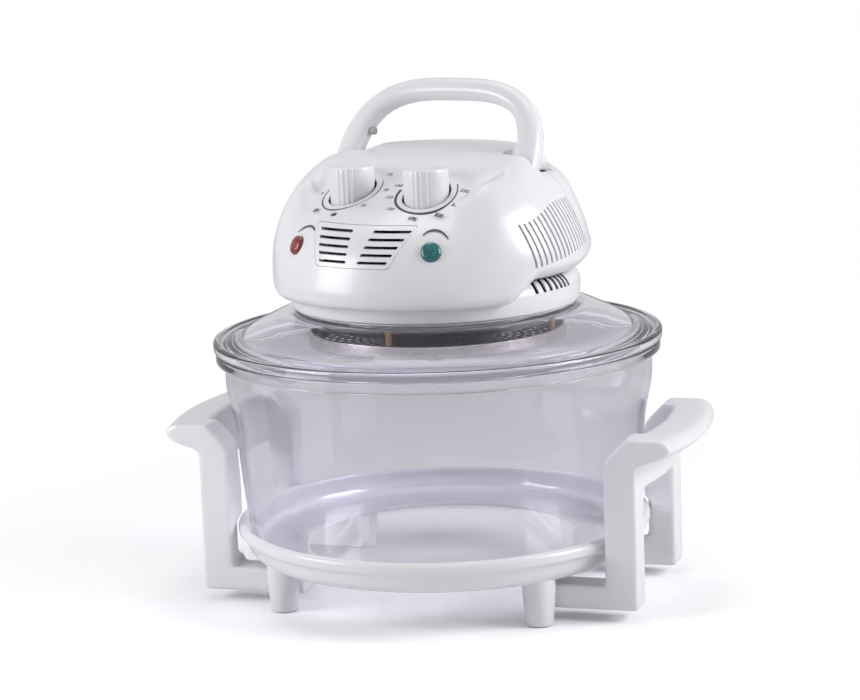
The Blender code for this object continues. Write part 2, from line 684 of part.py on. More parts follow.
def reflector():
    """The steel plate with its flange under the glass, and the insulation disc above it."""
    flange_top = LID_UNDER - FIT_GAP - EDGE_SOFTENING / 10
    flange_low = flange_top - PLATE_THICKNESS
    outline = [
        (PLATE_FLANGE_RADIUS, flange_low), (PLATE_FLANGE_RADIUS, flange_top), (PLATE_HAT_RADIUS, flange_top),
        (PLATE_HAT_RADIUS, PLATE_TOP), (PLATE_HOLE_RADIUS, PLATE_TOP), (PLATE_HOLE_RADIUS, PLATE_UNDER),
        (PLATE_HAT_RADIUS - PLATE_THICKNESS, PLATE_UNDER), (PLATE_HAT_RADIUS - PLATE_THICKNESS, flange_low),
    ]
    plate = turned("reflector_plate", outline, STEEL, lid_turn, PLATE_STEPS)
    element_holes(plate, PLATE_UNDER, PLATE_TOP)
    low = PLATE_TOP + FIT_GAP
    high = HEAD_BOTTOM - FIT_GAP
    rim = LID_HOLE_RADIUS - PLATE_THICKNESS * 2
    ring = [(PLATE_HOLE_RADIUS, low), (rim, low), (rim, high), (PLATE_HOLE_RADIUS, high)]
    disc = turned("insulation_disc", ring, MICA, lid_turn, PLATE_STEPS)
    element_holes(disc, low, high)


def heating_element():
    """One bent tube: down through the plate, round under it and up again."""
    level = PLATE_UNDER - ELEMENT_DROP
    top = FLOOR_TOP + ELEMENT_TAIL
    first = math.pi + ELEMENT_GAP_ANGLE
    sweep = math.tau - 2 * ELEMENT_GAP_ANGLE
    bend = ELEMENT_RADIUS
    turns = [first + sweep * index / (ELEMENT_POINTS - 1) for index in range(ELEMENT_POINTS)]
    round_part = [polar(ELEMENT_CIRCLE, turn, level) for turn in turns[1:-1]]
    path = [
        polar(ELEMENT_CIRCLE, turns[0], top), polar(ELEMENT_CIRCLE, turns[0], level + bend * 2), *round_part,
        polar(ELEMENT_CIRCLE, turns[-1], level + bend * 2), polar(ELEMENT_CIRCLE, turns[-1], top),
    ]
    curve = bpy.data.curves.new("heating_element", "CURVE")
    curve.dimensions = "3D"
    curve.bevel_depth = ELEMENT_RADIUS
    curve.bevel_resolution = 1
    curve.use_fill_caps = True
    spline = curve.splines.new("POLY")
    spline.points.add(len(path) - 1)
    for point, place in zip(spline.points, path):
        point.co = (*place, 1)
    curve.materials.append(DARK_STEEL)
    made = bpy.data.objects.new("heating_element", curve)
    bpy.context.collection.objects.link(made)
    made.parent = lid_turn


def guard():
    """The perforated steel pan below the element, hung on four posts."""
    top = LID_TOP - GUARD_TOP_DROP
    low = top - GUARD_DEPTH
    sheet = GUARD_SHEET
    outline = [
        (0, low), (GUARD_RADIUS - GUARD_CORNER, low), (GUARD_RADIUS, low + GUARD_CORNER), (GUARD_RADIUS, top),
        (GUARD_RADIUS - sheet, top), (GUARD_RADIUS - sheet, low + GUARD_CORNER + sheet / 2),
        (GUARD_RADIUS - GUARD_CORNER - sheet / 2, low + sheet), (0, low + sheet),
    ]
    pan = turned("guard_pan", outline, STEEL, lid_turn, PLATE_STEPS, closed=False)
    holes = bmesh.new()
    for circle_radius, count in GUARD_HOLE_RINGS:
        for index in range(count):
            place = polar(circle_radius, math.tau * index / count, low + sheet / 2)
            bmesh.ops.create_cone(
                holes, cap_ends=True, segments=6, radius1=GUARD_HOLE_RADIUS, radius2=GUARD_HOLE_RADIUS,
                depth=OVERRUN, matrix=Matrix.Translation(place),
            )
    boolean(pan, add("guard_holes", holes, STEEL, lid_turn))
    for number, angle in enumerate(POST_ANGLES, 1):
        x, y, _ = polar(POST_CIRCLE, angle, 0)
        rod(f"guard_post_{number}", "Z", (x, y), POST_RADIUS, low + sheet + FIT_GAP, PLATE_UNDER - FIT_GAP,
            BRONZE, lid_turn, steps=12)


# Head base
def base_outline():
    """The base's outer outline from its foot to the neck inside the housing."""
    step = BASE_RIM_RADIUS - BASE_RADIUS
    return [(BASE_RADIUS + out * step, HEAD_BOTTOM + up * BASE_HEIGHT) for out, up in BASE_OUTLINE_SHARES]


def head_base():
    """The round white base on the lid: rim, shoulder with cooling slots, floor and the switch's pillar."""
    outer = base_outline()
    inner = offset(outer, -BASE_WALL)[1:]
    outline = [*outer, *reversed(inner), (BASE_RADIUS - BASE_WALL, FLOOR_TOP), (FLOOR_HOLE_RADIUS, FLOOR_TOP)]
    outline.append((FLOOR_HOLE_RADIUS, HEAD_BOTTOM))
    base = turned("head_base", outline, WHITE, lid_turn, PLATE_STEPS + 4)
    low = HEAD_BOTTOM + BASE_SLOT_LOW_SHARE * BASE_HEIGHT
    slots = bmesh.new()
    for side in (-1, 1):
        for index in range(BASE_SLOTS):
            angle = side * (BASE_SLOT_START + index * BASE_SLOT_PITCH)
            turn = Matrix.Rotation(angle, 4, "Z")
            reach = BASE_RIM_RADIUS - BASE_NECK_RADIUS
            size = Matrix.Diagonal((BASE_SLOT_WIDTH, reach * 2, HEAD_BOTTOM + BASE_HEIGHT - low, 1))
            height = (low + HEAD_BOTTOM + BASE_HEIGHT) / 2 - BASE_SLOT_WIDTH / 4
            middle = (0, -(BASE_NECK_RADIUS + reach), height)
            bmesh.ops.create_cube(slots, size=1, matrix=turn @ Matrix.Translation(middle) @ size)
    boolean(base, add("base_slots", slots, WHITE, lid_turn))
    element_holes(base, HEAD_BOTTOM, FLOOR_TOP)
    pillar_low = FLOOR_TOP - FLOOR_THICKNESS / 2
    pillar_top = HEAD_BOTTOM + SWITCH_TOP - SWITCH_HEIGHT - FIT_GAP
    pillar = block(
        "switch_pillar", (-SWITCH_SIDE - PILLAR_HALF, SWITCH_PLACE - PILLAR_HALF, pillar_low),
        (-SWITCH_SIDE + PILLAR_HALF, SWITCH_PLACE + PILLAR_HALF, pillar_top), WHITE, lid_turn,
    )
    boolean(base, pillar, "UNION")


# Fans and motor
def fan(name, radius, low, height, disc_at_top):
    """A stamped fan: a disc with upright radial vanes and a hub, bored for the shaft."""
    outline = []
    half = FAN_VANE / 2
    for index in range(FAN_VANES):
        angle = math.tau * index / FAN_VANES
        spread = math.asin(half / FAN_HUB_RADIUS)
        following = angle + math.tau / FAN_VANES - spread
        for distance, side in ((FAN_HUB_RADIUS, -1), (radius, -1), (radius, 1), (FAN_HUB_RADIUS, 1)):
            along = math.sqrt(distance * distance - half * half)
            x = along * math.cos(angle) - side * half * math.sin(angle)
            y = along * math.sin(angle) + side * half * math.cos(angle)
            outline.append((x, y))
        middle = (angle + spread + following) / 2
        outline.append((FAN_HUB_RADIUS * math.cos(middle), FAN_HUB_RADIUS * math.sin(middle)))
    wheel = extruded(name, outline, "Z", low, low + height, STEEL, rotor_axis)
    disc_low = low + height - FAN_DISC if disc_at_top else low
    disc = rod(name + "_disc", "Z", (0, 0), radius - FAN_VANE * 2, disc_low + FAN_DISC / 10,
               disc_low + FAN_DISC * 0.9, STEEL, rotor_axis, steps=24)
    boolean(wheel, disc, "UNION")
    bore = rod(name + "_bore", "Z", (0, 0), SHAFT_RADIUS + FIT_GAP, low - OVERRUN, low + height + OVERRUN,
               STEEL, rotor_axis, steps=12)
    boolean(wheel, bore)


def arch(name, half, low, top, depth_low, depth_high, carrier):
    """A folded steel bridge: two legs and a flat top, of BRACKET_SHEET."""
    sheet = BRACKET_SHEET
    outline = [
        (-half, low), (-half + sheet, low), (-half + sheet, top - sheet), (half - sheet, top - sheet),
        (half - sheet, low), (half, low), (half, top), (-half, top),
    ]
    return extruded(name, outline, "Y", depth_low, depth_high, DARK_STEEL, carrier)


def motor_group():
    """Shaft, both fans and the nut on one rotor, and the motor on its bridge over the cooling fan."""
    shaft_low = HEAD_BOTTOM - SHAFT_BELOW
    shaft_top = HEAD_BOTTOM + SHAFT_ABOVE
    rod("motor_shaft", "Z", (0, 0), SHAFT_RADIUS, shaft_low, shaft_top, STEEL, rotor_axis, steps=12)
    fan_top = PLATE_UNDER - FAN_PLATE_GAP
    fan_low = fan_top - CIRCULATION_FAN_HEIGHT
    fan("circulation_fan", CIRCULATION_FAN_RADIUS, fan_low, CIRCULATION_FAN_HEIGHT, True)
    cooling_low = FLOOR_SEAT + FAN_PLATE_GAP
    fan("cooling_fan", COOLING_FAN_RADIUS, cooling_low, COOLING_FAN_HEIGHT, False)
    nut_top = fan_low - FIT_GAP
    nut = rod("fan_nut", "Z", (0, 0), NUT_RADIUS, nut_top - NUT_HEIGHT, nut_top, STEEL, rotor_axis, steps=6)
    bore = rod("fan_nut_bore", "Z", (0, 0), SHAFT_RADIUS + FIT_GAP, nut_top - NUT_HEIGHT - OVERRUN,
               nut_top + OVERRUN, STEEL, rotor_axis, steps=12)
    boolean(nut, bore)
    bridge_top = FLOOR_SEAT + MOTOR_BRACKET_HEIGHT
    half_depth = MOTOR_BRACKET_DEPTH / 2
    bridge = arch(
        "motor_bracket", MOTOR_BRACKET_HALF, FLOOR_SEAT, bridge_top, -half_depth, half_depth, lid_turn,
    )
    motor_top = MOTOR_SEAT + MOTOR_HEIGHT
    motor = block(
        "fan_motor", (-MOTOR_HALF_WIDTH, -MOTOR_HALF_DEPTH, MOTOR_SEAT),
        (MOTOR_HALF_WIDTH, MOTOR_HALF_DEPTH, motor_top), DARK_STEEL, lid_turn,
    )
    for target in (bridge, motor):
        bore = rod(
            target.name + "_bore", "Z", (0, 0), SHAFT_RADIUS + FIT_GAP, FLOOR_SEAT, motor_top + OVERRUN,
            STEEL, lid_turn, steps=12,
        )
        boolean(target, bore)


# Housing surface
def panel_height(x, y):
    """The sloping front panel, flat across near the deck and bent round the bowl's axis further forward."""
    bend = x * x / (2 * PANEL_BEND_RADIUS * PANEL_BEND_SPAN)
    place = y
    if y < -PANEL_BEND_START and bend < 0.9:
        place = (y + PANEL_BEND_START * bend) / (1 - bend)
        if place < -PANEL_BEND_START - PANEL_BEND_SPAN:
            place = y - bend * PANEL_BEND_SPAN
    return HEAD_BOTTOM + HEAD_HEIGHT * between(PANEL_SHARES, place / HEAD_RADIUS)


def deck_height(x, y):
    """The softly rounded lesser of the front panel and the crown, with the low shoulders behind the legs."""
    crown = HEAD_BOTTOM + HEAD_HEIGHT * between(CROWN_SHARES, math.hypot(x, y) / HEAD_RADIUS)
    panel = panel_height(x, y)
    gap = abs(crown - panel)
    height = min(crown, panel) - max(RIDGE_SOFTNESS - gap, 0) ** 2 / (4 * RIDGE_SOFTNESS)
    shoulder = HEAD_BOTTOM + HEAD_HEIGHT - SHOULDER_DROP
    outward = eased(abs(x), ISLAND_HALF, ISLAND_HALF + ISLAND_EDGE) * eased(y, 0, SHOULDER_FRONT)
    return height - outward * max(height - shoulder, 0)


def side_profile(angle):
    """The housing's outline below the deck at one angle from the front, as (radius, height)."""
    turn = abs(angle)
    stops = (
        (FRONT_SHARES, FRONT_END_ANGLE), (CORNER_SHARES, CORNER_ANGLE), (SIDE_SHARES, SIDE_ANGLE),
        (REAR_SHARES, REAR_ANGLE),
    )
    row = list(FRONT_SHARES)
    for (_, low), (shares, high) in zip(stops, stops[1:]):
        weight = eased(turn, low, high)
        row = [(a + (c - a) * weight, b + (d - b) * weight) for (a, b), (c, d) in zip(row, shares)]
    return [(radius * HEAD_RADIUS, HEAD_BOTTOM + height * HEAD_HEIGHT) for radius, height in row]


def column(angle):
    """One column of the housing's outer surface, from the first deck ring to the edge underneath."""
    below = side_profile(angle)
    edge = below[0][0]
    deck = []
    for share in (*DECK_RING_SHARES, 1.0):
        x, y, _ = polar(edge * share, angle, 0)
        deck.append((edge * share, deck_height(x, y)))
    return [*deck, *below[1:]]


def whole_shell(name):
    """The closed shell of the whole housing, open underneath: both halves and the grille are cut from it."""
    shape = bmesh.new()
    outer = []
    inner = []
    for index in range(HOUSING_COLUMNS):
        angle = math.tau * index / HOUSING_COLUMNS - math.pi
        points = column(angle)
        crown = [(0, deck_height(0, 0)), *points]
        inside = offset(crown, HOUSING_WALL)[1:]
        outer.append([shape.verts.new(polar(radius, angle, height)) for radius, height in points])
        inner.append([shape.verts.new(polar(radius, angle, height)) for radius, height in inside])
    top = shape.verts.new((0, 0, deck_height(0, 0)))
    under = shape.verts.new((0, 0, deck_height(0, 0) - HOUSING_WALL))
    rows = len(outer[0])
    for index in range(HOUSING_COLUMNS):
        after = (index + 1) % HOUSING_COLUMNS
        shape.faces.new((top, outer[index][0], outer[after][0]))
        shape.faces.new((under, inner[after][0], inner[index][0]))
        for row in range(rows - 1):
            for skin in (outer, inner):
                here, beside = skin[index], skin[after]
                shape.faces.new((here[row], here[row + 1], beside[row + 1], beside[row]))
        shape.faces.new((outer[index][-1], inner[index][-1], inner[after][-1], outer[after][-1]))
    return add(name, shape, WHITE, lid_turn)


def seam_block(name, rear, play):
    """The half space behind or before the tilted seam plane, drawn back from it by some play."""
    low = HEAD_BOTTOM - HEAD_RADIUS
    high = HEAD_BOTTOM + HEAD_HEIGHT + HEAD_RADIUS
    deck = HEAD_BOTTOM + HEAD_HEIGHT
    direction = 1 if rear else -1

    def seam(height):
        return SEAM_PLACE + (deck - height) * math.tan(SEAM_TILT) + direction * play

    far = direction * HEAD_RADIUS * 2
    outline = [(seam(low), low), (seam(high), high), (far, high), (far, low)]
    return extruded(name, outline, "X", -HEAD_RADIUS * 2, HEAD_RADIUS * 2, WHITE, lid_turn)


def leg_pocket(name, side):
    """The slot in which a handle leg swings, from upright back to folded, seen along X."""
    half = HANDLE_HALF_THICK + POCKET_PLAY
    front = HANDLE_LEAN
    back = HANDLE_LEAN + HANDLE_FOLD
    reach = POCKET_REACH
    outline = [
        (PIVOT.y - half * math.cos(front) + reach * math.sin(front),
         PIVOT.z + half * math.sin(front) + reach * math.cos(front)),
        (PIVOT.y - half * math.cos(front), PIVOT.z + half * math.sin(front)),
    ]
    arc_points = 6
    for index in range(1, arc_points):
        lean = front - (math.pi - HANDLE_FOLD) * index / arc_points
        outline.append((PIVOT.y - half * math.cos(lean), PIVOT.z + half * math.sin(lean)))
    outline += [
        (PIVOT.y + half * math.cos(back), PIVOT.z - half * math.sin(back)),
        (PIVOT.y + half * math.cos(back) + reach * math.sin(back),
         PIVOT.z - half * math.sin(back) + reach * math.cos(back)),
        (PIVOT.y + reach * 2, PIVOT.z + reach * 2),
    ]
    inner = HANDLE_HALF_SPAN - HANDLE_LEG_HALF - POCKET_PLAY
    outer = HANDLE_HALF_SPAN + HANDLE_LEG_HALF + POCKET_PLAY
    low, high = sorted((side * inner, side * outer))
    return extruded(name, outline, "X", low, high, WHITE, lid_turn)


def side_vents(name, side):
    """The upright slots of one side, in two groups, their tops and feet following a slant."""
    shape = bmesh.new()
    for first, count in VENT_GROUPS:
        for index in range(count):
            angle = first + index * VENT_PITCH
            share = index / (count - 1)
            low = HEAD_BOTTOM + VENT_LOW - VENT_SLANT / 2 * (1 - share)
            height = VENT_HEIGHT + VENT_SLANT * share / 2
            depth = HOUSING_WALL * 8
            size = Matrix.Diagonal((VENT_WIDTH, depth, height, 1))
            middle = (0, -(HEAD_RADIUS * 0.93), low + height / 2)
            turn = Matrix.Rotation(side * angle, 4, "Z")
            bmesh.ops.create_cube(shape, size=1, matrix=turn @ Matrix.Translation(middle) @ size)
    return add(name, shape, WHITE, lid_turn)


def grille_outline(play):
    """The trapezoid of the front grille, grown by some play, as (x, z)."""
    top = HEAD_BOTTOM + GRILLE_TOP + play
    bottom = HEAD_BOTTOM + GRILLE_BOTTOM - play
    wide = GRILLE_TOP_HALF + play
    narrow = GRILLE_BOTTOM_HALF + play
    return [(-narrow, bottom), (narrow, bottom), (wide, top), (-wide, top)]


def grille_prism(name, play):
    """The trapezoid carried through the front of the shell."""
    front = -HEAD_RADIUS - OVERRUN
    return extruded(name, grille_outline(play), "Y", front, -HEAD_RADIUS / 2, WHITE, lid_turn)


def front_grille():
    """The grille: the shell's own stretch inside the trapezoid, with two groups of slots."""
    grille = whole_shell("front_grille")
    cut_shell(grille, grille_prism("grille_blank", 0), "INTERSECT")
    pitch = (GRILLE_TOP - GRILLE_BOTTOM - GRILLE_BORDER * 2) / (GRILLE_SLOTS - 1)
    shape = bmesh.new()
    for index in range(GRILLE_SLOTS):
        share = index / (GRILLE_SLOTS - 1)
        middle = HEAD_BOTTOM + GRILLE_BOTTOM + GRILLE_BORDER + index * pitch
        outer = GRILLE_BOTTOM_HALF + (GRILLE_TOP_HALF - GRILLE_BOTTOM_HALF) * share - GRILLE_BORDER
        for side in (-1, 1):
            size = Matrix.Diagonal((outer - GRILLE_SLOT_INNER, HEAD_RADIUS / 2, GRILLE_SLOT_HEIGHT, 1))
            place = (side * (outer + GRILLE_SLOT_INNER) / 2, -HEAD_RADIUS * 0.9, middle)
            bmesh.ops.create_cube(shape, size=1, matrix=Matrix.Translation(place) @ size)
    cut_shell(grille, add("grille_slots", shape, WHITE, lid_turn))


def lamp_frame(side):
    """The place and the outward direction of a pilot lamp on the front face."""
    angle = side * math.atan2(LAMP_SIDE, LAMP_FORWARD)
    outward = Matrix.Rotation(angle, 4, "Z") @ Matrix.Rotation(math.pi / 2 - LAMP_TILT, 4, "X")
    return Matrix.Translation((side * LAMP_SIDE, -LAMP_FORWARD, HEAD_BOTTOM + LAMP_HEIGHT)) @ outward


def lamp_rod(name, side, radius, low, high, finish):
    """A round piece on a lamp's own axis, from low to high along its outward direction."""
    made = rod(name, "Z", (0, 0), radius, low, high, finish, None, steps=16)
    made.parent = lid_turn
    made.data.transform(lamp_frame(side))
    return made


def housings():
    """Front and rear shells, met at the seam plane, with every opening cut."""
    front = whole_shell("front_housing")
    rear = whole_shell("rear_housing")
    cut_shell(front, seam_block("behind_seam", True, -FIT_GAP / 2))
    cut_shell(rear, seam_block("before_seam", False, -FIT_GAP / 2))
    for side, word in ((-1, "left"), (1, "right")):
        pocket = leg_pocket(f"{word}_leg_pocket", side)
        vents = side_vents(f"{word}_vents", side)
        for shell in (front, rear):
            cut_shell(shell, pocket)
            cut_shell(shell, vents)
        place = (side * KNOB_SPACING / 2, -KNOB_PLACE)
        cut_shell(front, rod(f"{word}_knob_hole", "Z", place, KNOB_RADIUS + KNOB_GAP, HEAD_BOTTOM,
                             HEAD_BOTTOM + HEAD_HEIGHT + OVERRUN, WHITE, lid_turn, steps=24))
        hole_radius = LAMP_RADIUS + FIT_GAP
        hole = lamp_rod(f"{word}_lamp_hole", side, hole_radius, -LAMP_LENGTH * 2, LAMP_LENGTH, WHITE)
        cut_shell(front, hole)
    cut_shell(front, grille_prism("grille_opening", FIT_GAP))
    cut_shell(rear, rod("plunger_hole", "Z", (-SWITCH_SIDE, SWITCH_PLACE), PLUNGER_RADIUS + FIT_GAP,
                      HEAD_BOTTOM + SWITCH_TOP, HEAD_BOTTOM + HEAD_HEIGHT, WHITE, lid_turn, steps=12))
    cut_shell(rear, rod("bush_hole", "Y", (0, HEAD_BOTTOM + BUSH_HEIGHT), BUSH_RADIUS + FIT_GAP,
                      HEAD_RADIUS / 2, HEAD_RADIUS * 2, WHITE, lid_turn))


# Controls
def knob_outline(radius):
    """A round knob with a slightly proud band across its front, as (x, y) from its axis."""
    points = []
    for x, y in circle(radius, 32, start=math.pi / 32):
        if abs(x) < KNOB_BAND_HALF and y < 0:
            y = y - KNOB_BAND_PROUD
        points.append((x, y))
    return points


def control(name, side, carrier, body_name):
    """A knob with its shaft on one axis, and the fixed body that the shaft turns in."""
    x = side * KNOB_SPACING / 2
    top = HEAD_BOTTOM + KNOB_TOP
    levels = ((KNOB_BOTTOM, 0), (top - KNOB_CHAMFER, 0), (top, KNOB_CHAMFER))
    sections = []
    for height, less in levels:
        outline = knob_outline(KNOB_RADIUS - less)
        sections.append([(x + a, b - KNOB_PLACE, height) for a, b in outline])
    lofted(name + "_knob", sections, WHITE, carrier)
    rod(name + "_shaft", "Z", (x, -KNOB_PLACE), KNOB_SHAFT_RADIUS, CONTROL_TOP + FIT_GAP, KNOB_BOTTOM - FIT_GAP,
        STEEL, carrier, steps=12)
    rod(body_name, "Z", (x, -KNOB_PLACE), CONTROL_RADIUS, CONTROL_SEAT, CONTROL_TOP, GREY, lid_turn, steps=24)


def controls():
    """Timer and thermostat on their bridge, and the two pilot lamps with their holders."""
    control("timer", -1, timer_axis, "timer_body")
    control("thermostat", 1, thermostat_axis, "thermostat_body")
    half = CONTROL_BRACKET_DEPTH / 2
    arch("control_bracket", CONTROL_BRACKET_HALF, FLOOR_SEAT, CONTROL_SEAT - FIT_GAP, -KNOB_PLACE - half,
         -KNOB_PLACE + half, lid_turn)
    for side, word, colour, finish in ((-1, "left", "red", RED), (1, "right", "green", GREEN)):
        lamp_rod(f"lamp_lens_{colour}", side, LAMP_RADIUS, LAMP_PROUD - LAMP_LENGTH, LAMP_PROUD, finish)
        low = LAMP_PROUD - LAMP_LENGTH - FIT_GAP
        lamp_rod(f"lamp_holder_{word}", side, LAMP_HOLDER_RADIUS, low - LAMP_HOLDER_LENGTH, low, BLACK)


# Carry handle
def handle_section(x, rise, tangent, half_width):
    """An oval section of the handle about a point of its centre line, square to the line."""
    lean = Matrix.Rotation(-HANDLE_LEAN, 3, "X")
    across = Vector((tangent.z, 0, -tangent.x))
    points = []
    for index in range(HANDLE_SIDES):
        turn = math.tau * index / HANDLE_SIDES
        local = Vector((x, 0, rise)) + across * half_width * math.cos(turn)
        local.y += HANDLE_HALF_THICK * math.sin(turn)
        points.append(PIVOT + lean @ local)
    return points


def carry_handle():
    """The arch: a superellipse from pivot to pivot, wide in the legs and slimmer along the grip."""
    stations = []
    for index in range(HANDLE_SECTIONS):
        turn = math.pi * (1 - index / (HANDLE_SECTIONS - 1))
        power = 2 / HANDLE_CURVE_POWER
        x = HANDLE_HALF_SPAN * math.copysign(abs(math.cos(turn)) ** power, math.cos(turn))
        rise = HANDLE_RISE * abs(math.sin(turn)) ** power if 0 < index < HANDLE_SECTIONS - 1 else 0
        stations.append(Vector((x, 0, rise)))
    stations.insert(0, Vector((-HANDLE_HALF_SPAN, 0, -HANDLE_FOOT_LENGTH)))
    stations.append(Vector((HANDLE_HALF_SPAN, 0, -HANDLE_FOOT_LENGTH)))
    sections = []
    for index, place in enumerate(stations):
        before = stations[max(index - 1, 0)]
        after = stations[min(index + 1, len(stations) - 1)]
        tangent = (after - before).normalized()
        share = max(place.z, 0) / HANDLE_RISE
        swell = eased(share, 0, 0.3)
        fade = eased(share, 0.45, 0.9)
        half = HANDLE_FOOT_HALF + (HANDLE_LEG_HALF - HANDLE_FOOT_HALF) * swell
        half += (HANDLE_GRIP_HALF - half) * fade
        sections.append(handle_section(place.x, place.z, tangent, half))
    handle = lofted("carry_handle", sections, WHITE, handle_axis)
    for side in (-1, 1):
        low, high = sorted((side * HANDLE_BRACKET_OUTER, side * (HANDLE_HALF_SPAN + HANDLE_LEG_HALF * 2)))
        boolean(handle, rod(f"handle_pin_hole_{side + 1}", "X", (PIVOT.y, PIVOT.z), PIN_RADIUS + FIT_GAP,
                            low, high, STEEL, handle_axis, steps=12))
    nub_place = (PIVOT.y + NUB_SETBACK, PIVOT.z + NUB_HEIGHT)
    socket = rod("nub_socket", "X", nub_place, NUB_RADIUS + FIT_GAP, -NUB_TIP - NUB_LENGTH - FIT_GAP,
                 -NUB_TIP + OVERRUN, WHITE, handle_axis, steps=12)
    boolean(handle, socket)
    nub_root = -NUB_TIP - NUB_LENGTH
    rod("handle_nub", "X", nub_place, NUB_RADIUS, nub_root, -NUB_TIP, GREY, handle_axis, steps=12)


def handle_mount():
    """The steel bridge inside the head that holds the two pivot pins."""
    half = HANDLE_BRACKET_DEPTH / 2
    top = PIVOT.z + PIN_RADIUS * 3
    near, far = PIVOT.y - half, PIVOT.y + half
    bridge = arch("handle_bracket", HANDLE_BRACKET_OUTER, FLOOR_SEAT, top, near, far, lid_turn)
    for side, word in ((-1, "left"), (1, "right")):
        ear = side * HANDLE_BRACKET_OUTER
        hole_ends = sorted((ear - side * BRACKET_SHEET * 2, ear + side * BRACKET_SHEET))
        boolean(bridge, rod(f"{word}_ear_hole", "X", (PIVOT.y, PIVOT.z), PIN_RADIUS + FIT_GAP, *hole_ends, STEEL,
                            lid_turn, steps=12))
        ends = sorted((ear - side * BRACKET_SHEET * 3, side * (HANDLE_HALF_SPAN + HANDLE_FOOT_HALF)))
        rod(f"handle_pin_{word}", "X", (PIVOT.y, PIVOT.z), PIN_RADIUS, *ends, STEEL, lid_turn, steps=12)


# Safety switch and small electrical pieces
def safety_switch():
    """The switch on its pillar, and the plunger that the folded left leg presses."""
    top = HEAD_BOTTOM + SWITCH_TOP
    body = block(
        "switch_body", (-SWITCH_SIDE - SWITCH_HALF_WIDTH, SWITCH_PLACE - SWITCH_HALF_DEPTH, top - SWITCH_HEIGHT),
        (-SWITCH_SIDE + SWITCH_HALF_WIDTH, SWITCH_PLACE + SWITCH_HALF_DEPTH, top), BLACK, lid_turn,
    )
    place = (-SWITCH_SIDE, SWITCH_PLACE)
    bottom = top - PLUNGER_SINK
    boolean(body, rod("switch_bore", "Z", place, PLUNGER_RADIUS + FIT_GAP, bottom - PLUNGER_TRAVEL - FIT_GAP,
                      top + OVERRUN, BLACK, lid_turn, steps=12))
    tip = HEAD_BOTTOM + PLUNGER_TOP
    rod("switch_plunger", "Z", place, PLUNGER_RADIUS, bottom, tip, GREY, plunger_axis, steps=12)


def small_pieces():
    """Terminal block, thermal fuse and the bush where the mains lead leaves."""
    block(
        "terminal_block", (-TERMINAL_HALF_WIDTH, TERMINAL_PLACE, FLOOR_SEAT),
        (TERMINAL_HALF_WIDTH, TERMINAL_PLACE + TERMINAL_DEPTH, FLOOR_SEAT + TERMINAL_HEIGHT), GREY, lid_turn,
    )
    rod("thermal_fuse", "X", (-FUSE_PLACE, FLOOR_SEAT + FUSE_RADIUS), FUSE_RADIUS, -FUSE_LENGTH / 2,
        FUSE_LENGTH / 2, STEEL, lid_turn, steps=12)
    shell = between([(height, radius) for radius, height in reversed(side_profile(math.pi)[:-3])],
                    HEAD_BOTTOM + BUSH_HEIGHT)
    low = shell + BUSH_PROUD - BUSH_LENGTH
    outline = [
        (BUSH_BORE, low), (BUSH_RADIUS, low), (BUSH_RADIUS, shell), (BUSH_RADIUS * 0.75, shell + BUSH_PROUD),
        (BUSH_BORE, shell + BUSH_PROUD),
    ]
    bush = turned("cord_bush", outline, BLACK, None, steps=SMALL_STEPS)
    bush.parent = lid_turn
    bush.data.transform(Matrix.Rotation(-math.pi / 2, 4, "X"))
    bush.location = (0, 0, HEAD_BOTTOM + BUSH_HEIGHT)


cradle()
glass_bowl()
glass_lid()
reflector()
heating_element()
guard()
head_base()
motor_group()
housings()
front_grille()
controls()
carry_handle()
handle_mount()
safety_switch()
small_pieces()
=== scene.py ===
"""Multifunction oven: its finished surfaces, their materials, and the floor, light and camera.

Metres, +Z up, front towards -Y. The power head and what it carries are worked out in the head's own frame,
front towards -Y, and then turned about the bowl's axis by HEAD_TURN.
"""

import json
import math

import bmesh
import bpy
import numpy as np
from mathutils import Matrix, Vector

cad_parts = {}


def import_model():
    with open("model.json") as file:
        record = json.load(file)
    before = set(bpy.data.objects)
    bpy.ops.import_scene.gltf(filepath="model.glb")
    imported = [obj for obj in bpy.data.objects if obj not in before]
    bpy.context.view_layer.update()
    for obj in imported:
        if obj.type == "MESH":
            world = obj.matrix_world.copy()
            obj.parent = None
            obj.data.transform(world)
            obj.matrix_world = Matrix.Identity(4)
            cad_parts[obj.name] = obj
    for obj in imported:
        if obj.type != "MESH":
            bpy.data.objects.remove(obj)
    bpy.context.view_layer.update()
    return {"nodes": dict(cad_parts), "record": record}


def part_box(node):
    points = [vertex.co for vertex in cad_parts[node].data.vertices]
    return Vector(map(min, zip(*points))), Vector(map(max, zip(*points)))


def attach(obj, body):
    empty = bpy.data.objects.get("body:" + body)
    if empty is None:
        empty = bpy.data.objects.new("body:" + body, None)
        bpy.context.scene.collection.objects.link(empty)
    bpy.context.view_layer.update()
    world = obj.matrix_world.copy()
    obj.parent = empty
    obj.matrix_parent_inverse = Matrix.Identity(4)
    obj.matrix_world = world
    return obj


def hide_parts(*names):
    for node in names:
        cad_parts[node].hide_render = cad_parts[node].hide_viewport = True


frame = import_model()

# The head's frame
HEAD_TURN = math.radians(-12.8)
HEAD_AXES = np.array(Matrix.Rotation(HEAD_TURN, 3, "Z"))
BOWL_AXES = np.eye(3)

